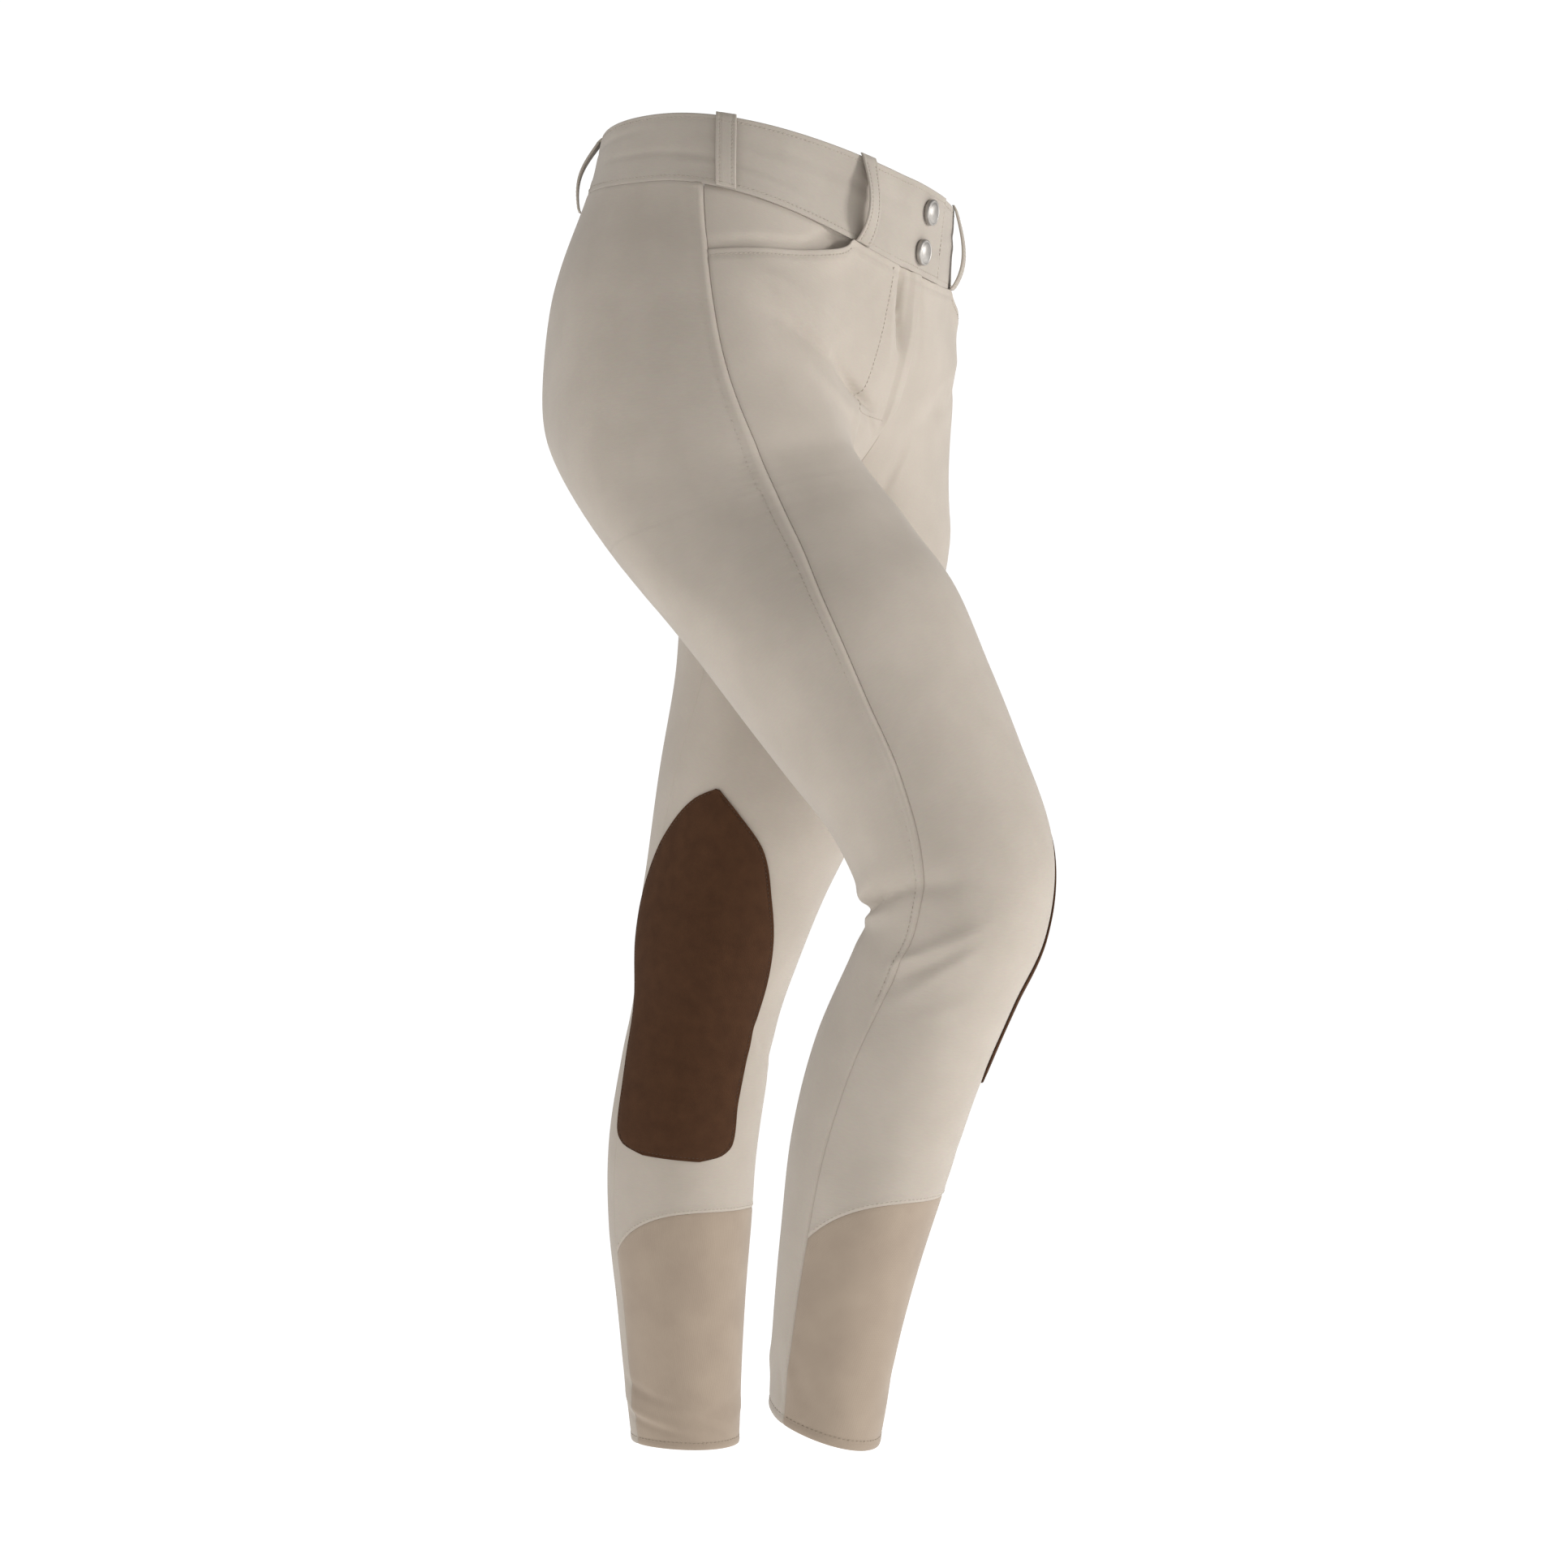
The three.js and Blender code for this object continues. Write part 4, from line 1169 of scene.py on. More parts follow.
@dataclass
class Panel(ClothPiece):
    """A piece whose grid runs from its start edge to its end edge and from its top to its foot."""

    finish_kind: object = TWILL
    thickness: float = CLOTH
    across_step: float = 0.0062
    down_step: float = 3.1
    trims: dict[Edge, float] = field(default_factory=dict)
    reliefs: tuple[Relief, ...] = ()
    sewn: tuple[Edge, ...] = ()

    def shares(self) -> np.ndarray:
        """Places of the columns round the half."""
        raise NotImplementedError

    def top(self, around: np.ndarray) -> np.ndarray:
        """Where the top edge is."""
        raise NotImplementedError

    def foot(self, around: np.ndarray) -> np.ndarray:
        """Where the foot edge is."""
        raise NotImplementedError

    def extra_lift(self, around: np.ndarray, down: np.ndarray) -> np.ndarray:
        """Lift of the whole piece over the form."""
        return np.zeros(around.shape)

    def grid(self) -> tuple[np.ndarray, np.ndarray]:
        """Places of the grid's points.

        Returns:
            Shares round the half and distances down the cloth, rows by columns.
        """
        columns = self.shares()
        top, foot = self.top(columns), self.foot(columns)
        length = float((foot - top).max())
        rows = spaced(0.0, length, self.down_step, FINE_DOWN) / length
        around = np.broadcast_to(columns, (len(rows), len(columns))).copy()
        return around, mix(top[None], foot[None], rows[:, None])

    def distances(self, around: np.ndarray, down: np.ndarray) -> dict[Edge, np.ndarray]:
        """Distance of each place from each edge.

        Args:
            around: Shares round the half.
            down: Distances down the cloth.

        Returns:
            Distances in millimetres, by edge.
        """
        girth = FORM.girth(self.side, down)
        columns = self.shares()
        return {
            Edge.START: (around - columns[0]) * girth,
            Edge.END: (columns[-1] - around) * girth,
            Edge.TOP: down - self.top(around),
            Edge.FOOT: self.foot(around) - down,
        }

    def relief(self, around: np.ndarray, down: np.ndarray, away: dict[Edge, np.ndarray]) -> np.ndarray:
        """Lift from the ridges and grooves along the edges.

        Args:
            around: Shares round the half.
            down: Distances down the cloth.
            away: Distances from the edges.

        Returns:
            The lift in millimetres.
        """
        total = np.zeros(around.shape)
        for line in self.reliefs:
            sideways = line.edge in (Edge.START, Edge.END)
            run = down if sideways else around * FORM.girth(self.side, down)
            level = down if sideways else down * 0 + (line.start + line.end) / 2
            shape = np.exp(-(((away[line.edge] - line.distance) / line.half_width) ** 2))
            shape = shape * smooth((level - line.start) / 12 + 0.5) * smooth((line.end - level) / 12 + 0.5)
            wobble = np.sin(2 * math.pi * run / line.wave) * np.sin(2 * math.pi * run / (line.wave * 4.3) + 1.0)
            total += line.rise * shape * (1 + line.ripple * wobble)
        return total

    def trim(self, away: dict[Edge, np.ndarray], start: Edge, end: Edge) -> np.ndarray:
        """How far edges are moved in along one direction, for the seam gaps.

        Args:
            away: Distances from the edges.
            start: The edge where the direction begins.
            end: The edge where it ends.

        Returns:
            The slide in millimetres.
        """
        near = self.trims.get(start, 0.0) * (away[start] < 0.01)
        far = self.trims.get(end, 0.0) * (away[end] < 0.01)
        return near - far

    def fall_share(self, edge: Edge, around: np.ndarray) -> np.ndarray:
        """Share of the thickness that an edge falls away: less where it is sewn than where it is free."""
        return np.full(around.shape, SEWN_FALL if edge in self.sewn else FREE_FALL)

    def settle(self, points: np.ndarray, around: np.ndarray, down: np.ndarray) -> np.ndarray:
        """Last move of the points, such as onto their own side."""
        return points

    def build(self) -> None:
        """Makes the piece's wall."""
        around, down = self.grid()
        away = self.distances(around, down)
        lift = self.relief(around, down, away) + self.extra_lift(around, down)
        fall = np.zeros(around.shape)
        for edge, distance in away.items():
            fall = np.maximum(fall, rim_fall(distance, self.thickness * self.fall_share(edge, around)))
        slide_around = self.trim(away, Edge.START, Edge.END)
        slide_down = self.trim(away, Edge.TOP, Edge.FOOT)
        faces = []
        for depth, turn in ((0.0, 1.0), (self.thickness, -0.6)):
            level = lift - depth - turn * fall
            points = FORM.place(self.side, around, down, level, slide_around, slide_down)
            faces.append(self.settle(points, around, down))
        uv = np.stack([around * FORM.girth(self.side, down), down], axis=-1)
        self.made = cloth_wall(self.name, faces[0], faces[1], uv, self.finish_kind)


# Pocket mouth and sock seam, as on the solids
MOUTH_START = 0.19
MOUTH_DEPTH = 47.0
MOUTH_CURVE = 0.62
MOUTH_GAPE = 4.2
GAPE_AT = 0.235
GAPE_WIDTH = 0.05
FACING_START = 0.15
FACING_TUCK = 12.0
FACING_LIFT = -(CLOTH + 0.5)
SOCK_TOP = {Side.RIGHT: 763.0, Side.LEFT: 730.0}
SOCK_DROP = 38.0
SOCK_MIDDLE = 0.25
FLY_LAP = 5.0
FLY_LIFT = CLOTH + 0.5
FLY_FOOT = 185.0
FLY_RISE = 20.0
FLY_SLOPE = 15.0
FLY_EDGE = 0.009


def mouth_down(around: np.ndarray) -> np.ndarray:
    """Where the pocket mouth is."""
    t = np.clip((around - MOUTH_START) / (SIDE_SEAM - MOUTH_START), 0, 1)
    return BAND_END + MOUTH_DEPTH * t**MOUTH_CURVE


def sock_down(side: Side, around: np.ndarray) -> np.ndarray:
    """Where the sock seam is."""
    t = np.abs(around - SOCK_MIDDLE) / SOCK_MIDDLE
    return SOCK_TOP[side] + SOCK_DROP * t**3


SEAM_GROOVE = -0.3


@dataclass
class FrontPanel(Panel):
    """Front of one half, from the waist seam and pocket mouth down to the sock seam."""

    cut: Cut = Cut(0.30, 0.74, 0.135)
    sewn: tuple[Edge, ...] = (Edge.START, Edge.END, Edge.FOOT)
    reliefs: tuple[Relief, ...] = (
        Relief(Edge.END, 0.0, 1.6, SEAM_GROOVE, ripple=0.15),
        Relief(Edge.FOOT, 0.0, 1.4, SEAM_GROOVE, ripple=0.1),
        Relief(Edge.FOOT, 3.0, 1.4, 0.3, ripple=0.3, wave=6.0),
        Relief(Edge.TOP, 0.0, 1.2, -0.1),
        Relief(Edge.TOP, 4.4, 1.3, -0.3, ripple=0.7, wave=6.0),
        Relief(Edge.TOP, 7.5, 2.2, 0.35, ripple=0.5, wave=8.0),
    )

    @property
    def name(self) -> str:
        """The piece's name."""
        return f"front_{self.side.word}_cloth"

    def shares(self) -> np.ndarray:
        """Places of the columns round the half, with close ones where the fly laps."""
        return spaced(0.0, SIDE_SEAM, self.across_step, FINE_ACROSS)

    def top(self, around: np.ndarray) -> np.ndarray:
        """Where the top edge is."""
        return mouth_down(around)

    def foot(self, around: np.ndarray) -> np.ndarray:
        """Where the foot edge is."""
        return sock_down(self.side, around)

    def lap(self, around: np.ndarray, down: np.ndarray) -> np.ndarray:
        """Share of the lap at the fly: the right front alone laps over."""
        if self.side is Side.LEFT:
            return np.zeros(around.shape)
        return 1 - smooth((around - FLY_EDGE) / FLY_EDGE)

    def fall_share(self, edge: Edge, around: np.ndarray) -> np.ndarray:
        """The top edge is sewn to the band beside the fly, and free along the pocket mouth."""
        if edge is Edge.TOP:
            return mix(SEWN_FALL, FREE_FALL, smooth((around - MOUTH_START) / 0.02))
        return super().fall_share(edge, around)

    def extra_lift(self, around: np.ndarray, down: np.ndarray) -> np.ndarray:
        """Lift at the gaping mouth and at the fly's lap."""
        gape = np.exp(-(((around - GAPE_AT) / GAPE_WIDTH) ** 2))
        gape = gape * np.exp(-(((down - mouth_down(around)) / 14) ** 2)) * MOUTH_GAPE
        fly = FLY_LIFT * smooth((FLY_FOOT - down) / FLY_RISE)
        return gape + fly * self.lap(around, down)

    def settle(self, points: np.ndarray, around: np.ndarray, down: np.ndarray) -> np.ndarray:
        """Keeps the half on its side and carries the fly's edge over the left front.

        Args:
            points: The points.
            around: Shares round the half.
            down: Distances down the cloth.

        Returns:
            The points, moved.
        """
        keep_on_side(self.side, points)
        reach = FLY_LAP * smooth((FLY_FOOT - FLY_RISE - down) / FLY_SLOPE)
        reach = reach * np.clip(1 - around / FLY_EDGE, 0, 1) * (self.side is Side.RIGHT)
        points[..., 2] -= WAIST_TILT * tilt_at(points[..., 2]) * reach
        points[..., 0] += reach
        return points

    def dress(self) -> None:
        self.trims = {Edge.START: SEWN_TRIM, Edge.END: SEWN_TRIM}
        self.finish(TWILL, self.cut, f"front_{self.side.word}", [f"back_{self.side.word}", f"waistband_{self.side.word}"])
        mouth = np.linspace(MOUTH_START + 0.004, SIDE_SEAM - 0.006, 160)
        gape = MOUTH_GAPE * np.exp(-(((mouth - GAPE_AT) / GAPE_WIDTH) ** 2)) * 0.93
        lines = [self.line(mouth, mouth_down(mouth) + 4.4, 0.0)]
        lines[0].points += lines[0].out * (gape - 0.12)[:, None]
        shin = np.linspace(0.01, 0.49, 120)
        lines.append(self.line(shin, sock_down(self.side, shin) - 2.4, 0.2))
        if self.side is Side.RIGHT:
            leg = np.linspace(0, 1, 90)
            around = mix(0.074, 0.128, leg**1.1)
            around = np.where(leg > 0.78, around - 0.11 * ((leg - 0.78) / 0.22) ** 2, around)
            lines.append(self.line(around, mix(49.0, 168.0, np.sin(leg * math.pi / 2)), 0.08))
        Stitching(f"stitches_{self.name}", lines, CLOTH_THREAD).build(self.tree)


@dataclass
class BackPanel(Panel):
    """Back of one half, from the waist seam over the seat and calf to the hem."""

    cut: Cut = Cut(0.33, 0.90, 0.170)
    sewn: tuple[Edge, ...] = (Edge.START, Edge.END, Edge.TOP)
    reliefs: tuple[Relief, ...] = (
        Relief(Edge.START, 0.0, 1.1, -0.7, ripple=0.15),
        Relief(Edge.START, 3.4, 2.2, 0.8, 40, 650, ripple=0.2, wave=7.0),
        Relief(Edge.START, 6.2, 1.0, -0.5, 40, 650, ripple=0.7, wave=6.0),
        Relief(Edge.START, 9.0, 2.0, 0.2, 40, 650, ripple=0.8, wave=8.0),
        Relief(Edge.START, 3.0, 2.0, 0.35, 650, 915, ripple=0.3, wave=9.0),
        Relief(Edge.END, 0.0, 1.5, SEAM_GROOVE, ripple=0.15),
        Relief(Edge.END, 3.4, 2.2, 0.35, 40, 250, ripple=0.3, wave=9.0),
        Relief(Edge.TOP, 0.0, 1.4, SEAM_GROOVE, ripple=0.1),
        Relief(Edge.FOOT, 6.0, 1.1, -0.35, ripple=0.6, wave=6.0),
        Relief(Edge.FOOT, 2.6, 2.2, 0.3, ripple=0.2, wave=9.0),
    )

    @property
    def name(self) -> str:
        """The piece's name."""
        return f"back_{self.side.word}_cloth"

    def shares(self) -> np.ndarray:
        """Places of the columns round the half."""
        return spaced(SIDE_SEAM, 1.0, self.across_step, FINE_ACROSS)

    def top(self, around: np.ndarray) -> np.ndarray:
        """Where the top edge is."""
        return np.full(np.shape(around), BAND_END)

    def foot(self, around: np.ndarray) -> np.ndarray:
        """Where the foot edge is."""
        return np.full(np.shape(around), HEM)

    def settle(self, points: np.ndarray, around: np.ndarray, down: np.ndarray) -> np.ndarray:
        """Keeps the half on its side."""
        return keep_on_side(self.side, points)

    def dress(self) -> None:
        self.finish(TWILL, self.cut, f"back_{self.side.word}", [f"front_{self.side.word}", f"waistband_{self.side.word}"])
        down = np.linspace(49.0, 648.0, 420)
        girth = FORM.girth(self.side, down)
        lines = [self.line(SIDE_SEAM + 6.2 / girth, down, -0.1)]
        seat = np.linspace(49.0, 246.0, 140)
        lines.append(self.line(1 - 5.4 / FORM.girth(self.side, seat), seat, 0.12))
        hem = np.linspace(SIDE_SEAM + 0.01, 0.99, 120)
        lines.append(self.line(hem, HEM - 6.0, -0.06))
        Stitching(f"stitches_{self.name}", lines, CLOTH_THREAD).build(self.tree)


@dataclass
class SockBottom(Panel):
    """Knitted front of the lower leg, from the sock seam to the hem."""

    cut: Cut = Cut(0.155, 0.19, 0.0255)
    sewn: tuple[Edge, ...] = (Edge.START, Edge.END, Edge.TOP)
    finish_kind: object = KNIT
    across_step: float = 0.011
    down_step: float = 2.4
    reliefs: tuple[Relief, ...] = (
        Relief(Edge.TOP, 0.0, 1.5, SEAM_GROOVE, ripple=0.1),
        Relief(Edge.START, 0.0, 1.5, SEAM_GROOVE, ripple=0.15),
        Relief(Edge.END, 0.0, 1.5, SEAM_GROOVE, ripple=0.15),
        Relief(Edge.FOOT, 6.0, 1.1, -0.35, ripple=0.6, wave=6.0),
        Relief(Edge.FOOT, 2.6, 2.2, 0.3, ripple=0.2, wave=9.0),
    )

    @property
    def name(self) -> str:
        """The piece's name."""
        return f"sock_{self.side.word}_knit"

    def shares(self) -> np.ndarray:
        """Places of the columns round the leg."""
        return spaced(0.0, SIDE_SEAM, self.across_step, tuple(2 * x for x in FINE_ACROSS))

    def top(self, around: np.ndarray) -> np.ndarray:
        """Where the top edge is."""
        return sock_down(self.side, around)

    def foot(self, around: np.ndarray) -> np.ndarray:
        """Where the foot edge is."""
        return np.full(np.shape(around), HEM)

    def dress(self) -> None:
        self.finish(KNIT, self.cut, f"sock_{self.side.word}", [f"front_{self.side.word}", f"back_{self.side.word}"])
        hem = np.linspace(0.01, 0.49, 120)
        Stitching(f"stitches_{self.name}", [self.line(hem, HEM - 6.0, -0.06)], SOCK_THREAD).build(self.tree)


@dataclass
class PocketFacing(Panel):
    """The piece that shows behind the pocket mouth."""

    cut: Cut = Cut(0.17, 0.06, 0.0041)
    across_step: float = 0.0075
    down_step: float = 2.6

    @property
    def name(self) -> str:
        """The piece's name."""
        return f"pocket_{self.side.word}_facing"

    def shares(self) -> np.ndarray:
        """Places of the columns round the half."""
        return spaced(FACING_START, SIDE_SEAM, self.across_step, FINE_ACROSS)

    def top(self, around: np.ndarray) -> np.ndarray:
        """Where the top edge is."""
        return np.full(np.shape(around), BAND_END - 5.0)

    def foot(self, around: np.ndarray) -> np.ndarray:
        """Where the foot edge is."""
        return mouth_down(around) + FACING_TUCK

    def extra_lift(self, around: np.ndarray, down: np.ndarray) -> np.ndarray:
        """The facing lies under the front, and fills out a little where it shows."""
        shown = smooth((mouth_down(around) - down) / 12) * smooth((down - BAND_END) / 3)
        sunk = np.exp(-(((around - GAPE_AT + 0.02) / 0.035) ** 2)) * smooth((down - BAND_END + 3) / 8)
        return FACING_LIFT + 1.6 * shown * (1 - sunk) - 6.0 * sunk

    def dress(self) -> None:
        self.finish(TWILL, self.cut, f"pocket_{self.side.word}", [f"front_{self.side.word}", f"waistband_{self.side.word}"])


TAB_REACH = 0.085
TAB_FLAT = 0.02
TAB_RISE = 0.06


@dataclass
class Waistband:
    """One half of the contoured band. The right one ends in the tab that laps over the left."""

    side: Side
    tree: StitchTree
    right_cut: Cut = Cut(0.46, 0.052, 0.0205)
    left_cut: Cut = Cut(0.42, 0.052, 0.0185)
    down_step: float = 1.9
    made: bpy.types.Object | None = field(default=None, init=False)

    def places(self) -> tuple[np.ndarray, np.ndarray]:
        """Columns of the band.

        Returns:
            Shares round, below zero on the tab, and which of them are on the tab.
        """
        start = -TAB_REACH if self.side is Side.RIGHT else 0.0
        shares = spaced(start, 1.0, 0.0052, FINE_ACROSS)
        return shares, shares < 0

    def lap_lift(self, around: np.ndarray) -> np.ndarray:
        """Lift of the right band where it goes over the left one."""
        if self.side is Side.LEFT:
            return np.zeros(np.shape(around))
        return LAP_LIFT * (1 - smooth((around - TAB_FLAT) / TAB_RISE))

    def surface(self, around: np.ndarray, down: np.ndarray, lift: np.ndarray) -> np.ndarray:
        """Points on the band, on the tab too.

        Args:
            around: Shares round, below zero on the tab.
            down: Distances down the cloth.
            lift: Lift over the form.

        Returns:
            The points, in millimetres.
        """
        own = keep_on_side(self.side, FORM.place(self.side, np.maximum(around, 0), down, lift))
        if self.side is Side.LEFT:
            return own
        over = FORM.place(Side.LEFT, np.maximum(-around, 0), down, lift)
        return np.where((around < 0)[..., None], over, own)

    def build(self) -> None:
        """Makes the band's wall with its rolled top edge and pressed seam."""
        columns, _ = self.places()
        rows = spaced(0.0, BAND_END - SEWN_TRIM, self.down_step, FINE_DOWN[:6])
        around = np.broadcast_to(columns, (len(rows), len(columns)))
        down = np.broadcast_to(rows[:, None], around.shape)
        girth = FORM.girth(self.side, down)
        ends = np.minimum((around - columns[0]), (1.0 - around)) * girth
        fall = rim_fall(np.minimum(down, ends), CLOTH * FREE_FALL)
        fall = np.maximum(fall, rim_fall(BAND_END - SEWN_TRIM - down, CLOTH * SEWN_FALL))
        run = around * girth
        wobble = np.sin(run / 1.1) * np.sin(run / 4.7 + 1)
        relief = self.lap_lift(around) - 0.3 * np.exp(-(((BAND_END - down) / 1.5) ** 2))
        for stitch_down in (3.2, 41.6):
            relief = relief - 0.22 * np.exp(-(((down - stitch_down) / 0.9) ** 2)) * (1 + 0.6 * wobble)
        relief = relief + 0.28 * np.sin(down / 45 * math.pi) * np.sin(run / 31 + 0.4)
        relief = relief + 0.16 * np.sin(down / 45 * 2 * math.pi) * np.sin(run / 17 + 2.0)
        for level, spread, rise, drift in ((12.0, 1.9, -0.46, 46.0), (18.0, 2.4, 0.4, 61.0), (28.0, 2.0, -0.5, 53.0), (34.0, 2.2, 0.3, 39.0)):
            path = level + 2.5 * np.sin(run / drift)
            patchy = smooth(np.sin(run / (drift * 0.8) + level) + 0.6)
            relief = relief + rise * patchy * np.exp(-(((down - path) / spread) ** 2))
        outer = self.surface(around, down, relief - fall)
        inner = self.surface(around, down, relief - CLOTH + 0.6 * fall)
        uv = np.stack([run, down], axis=-1)
        # The band wears the darker twill, whose darker colour is painted shade.
        self.made = cloth_wall(f"waistband_{self.side.word}_cloth", outer, inner, uv, SHADED_BAND_TWILL)

    def dress(self) -> None:
        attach(self.made, BODY)
        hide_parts(f"waistband_{self.side.word}")
        f"front_{self.side.word}"
        f"back_{self.side.word}"
        start = -TAB_REACH + 0.006 if self.side is Side.RIGHT else 0.006
        run = np.linspace(start, 0.996, 420)
        lines = []
        for stitch_down in (3.2, 41.6):
            down = np.full(run.shape, stitch_down)
            lines.append(self.sewn(run, down))
        if self.side is Side.RIGHT:
            down = np.linspace(3.2, 41.6, 30)
            lines.append(self.sewn(np.full(30, start), down))
        Stitching(f"stitches_{self.made.name}", lines, CLOTH_THREAD, seed=11).build(self.tree)
        LOG.info("%s: %d faces", self.made.name, len(self.made.data.polygons))

    def sewn(self, around: np.ndarray, down: np.ndarray) -> SewnLine:
        """A sewn line on the band.

        Args:
            around: Shares round, below zero on the tab.
            down: Distances down the cloth.

        Returns:
            The line.
        """
        lift = self.lap_lift(around) - 0.1
        own = FORM.ways(self.side, np.maximum(around, 0), down)[2]
        over = FORM.ways(Side.LEFT, np.maximum(-around, 0), down)[2]
        out = np.where((around < 0)[:, None], over, own)
        return SewnLine(self.surface(around, down, lift), out)


PATCH_EDGES = RingTable(
    ("down", "rear", "fore"),
    (
        (444, 0.084, 0.09),
        (454, 0.055, 0.125),
        (472, 0.022, 0.178),
        (500, -0.02, 0.218),
        (530, -0.048, 0.247),
        (562, -0.045, 0.258),
        (600, -0.02, 0.245),
        (645, -0.008, 0.236),
        (676, 0.0, 0.237),
        (686, 0.022, 0.216),
        (691, 0.07, 0.175),
    ),
)
PATCH_TURN = {Side.RIGHT: (-0.03, 0.014), Side.LEFT: (0.0, 0.0)}


@dataclass
class KneePatch(ClothPiece):
    """Suede patch on the inside of the knee, sewn on round its edge."""

    cut: Cut = Cut(0.115, 0.25, 0.024)
    lift: float = 0.35
    columns: int = 56

    @property
    def name(self) -> str:
        """The piece's name."""
        return f"patch_{self.side.word}_suede"

    def edges(self, down: np.ndarray) -> tuple[np.ndarray, np.ndarray]:
        """Rear and fore edges of the patch.

        Args:
            down: Distances down the cloth.

        Returns:
            Shares round the leg at the two edges.
        """
        ends = PATCH_EDGES.read(down)
        above, below = PATCH_TURN[self.side]
        turn = mix(above, below, smooth((down - 560) / 60))
        return ends["rear"] + turn, ends["fore"] + turn

    def build(self) -> None:
        """Makes the patch's wall, pressed in along its edge seam."""
        share = spaced(0.0, 1.0, 1.0 / self.columns, (0.004, 0.009, 0.016, 0.026, 0.038))
        rows = spaced(444.0, 691.0, 2.4, (0.3, 0.7, 1.3, 2.2, 3.4, 5.0))
        down = np.broadcast_to(rows[:, None], (len(rows), len(share)))
        rear, fore = self.edges(rows)
        around = mix(rear[:, None], fore[:, None], share[None])
        girth = FORM.girth(self.side, down)
        away = np.minimum.reduce(
            [
                (around - rear[:, None]) * girth,
                (fore[:, None] - around) * girth,
                (down - 444) * 0.8 + 0.2,
                (691 - down) + 0.2,
            ]
        )
        fall = rim_fall(away, SUEDE * FREE_FALL, 0.8)
        run = down + around * girth
        press = 0.4 * np.exp(-(((away - 2.2) / 0.9) ** 2)) * (1 + 0.5 * np.sin(run * 2.1))
        press = press + 0.3 * np.exp(-(((691 - down - 6.4) / 0.9) ** 2))
        puff = 0.35 * smooth((away - 2.4) / 7)
        level = self.lift - press + puff
        outer = FORM.place(self.side, around, down, level + SUEDE - fall)
        inner = FORM.place(self.side, around, down, np.full(down.shape, self.lift) + fall * 0.6 - 0.1)
        uv = np.stack([around * girth, down], axis=-1)
        self.made = cloth_wall(self.name, outer, inner, uv, SUEDE_NAP)

    def dress(self) -> None:
        node = f"patch_{self.side.word}"
        self.finish(SUEDE_NAP, self.cut, node, [f"front_{self.side.word}", f"back_{self.side.word}"])
        rows = np.linspace(448.0, 688.0, 220)
        girth = FORM.girth(self.side, rows)
        rear, fore = self.edges(rows)
        lift = self.lift + SUEDE - 0.35
        lines = [
            self.line(rear + 2.2 / girth, rows, lift),
            self.line(fore - 2.2 / girth, rows, lift),
        ]
        for inset in (2.6, 6.4):
            level = 691 - inset
            ends = self.edges(np.array([level]))
            width = float(FORM.girth(self.side, np.array([level]))[0])
            run = np.linspace(float(ends[0][0]) + 2.4 / width, float(ends[1][0]) - 2.4 / width, 60)
            lines.append(self.line(run, np.full(60, level), lift))
        stitches = Stitching(f"stitches_{self.name}", lines, SUEDE_THREAD, 2.8, 2.0, 0.55, 0.35, 5)
        stitches.build(self.tree)


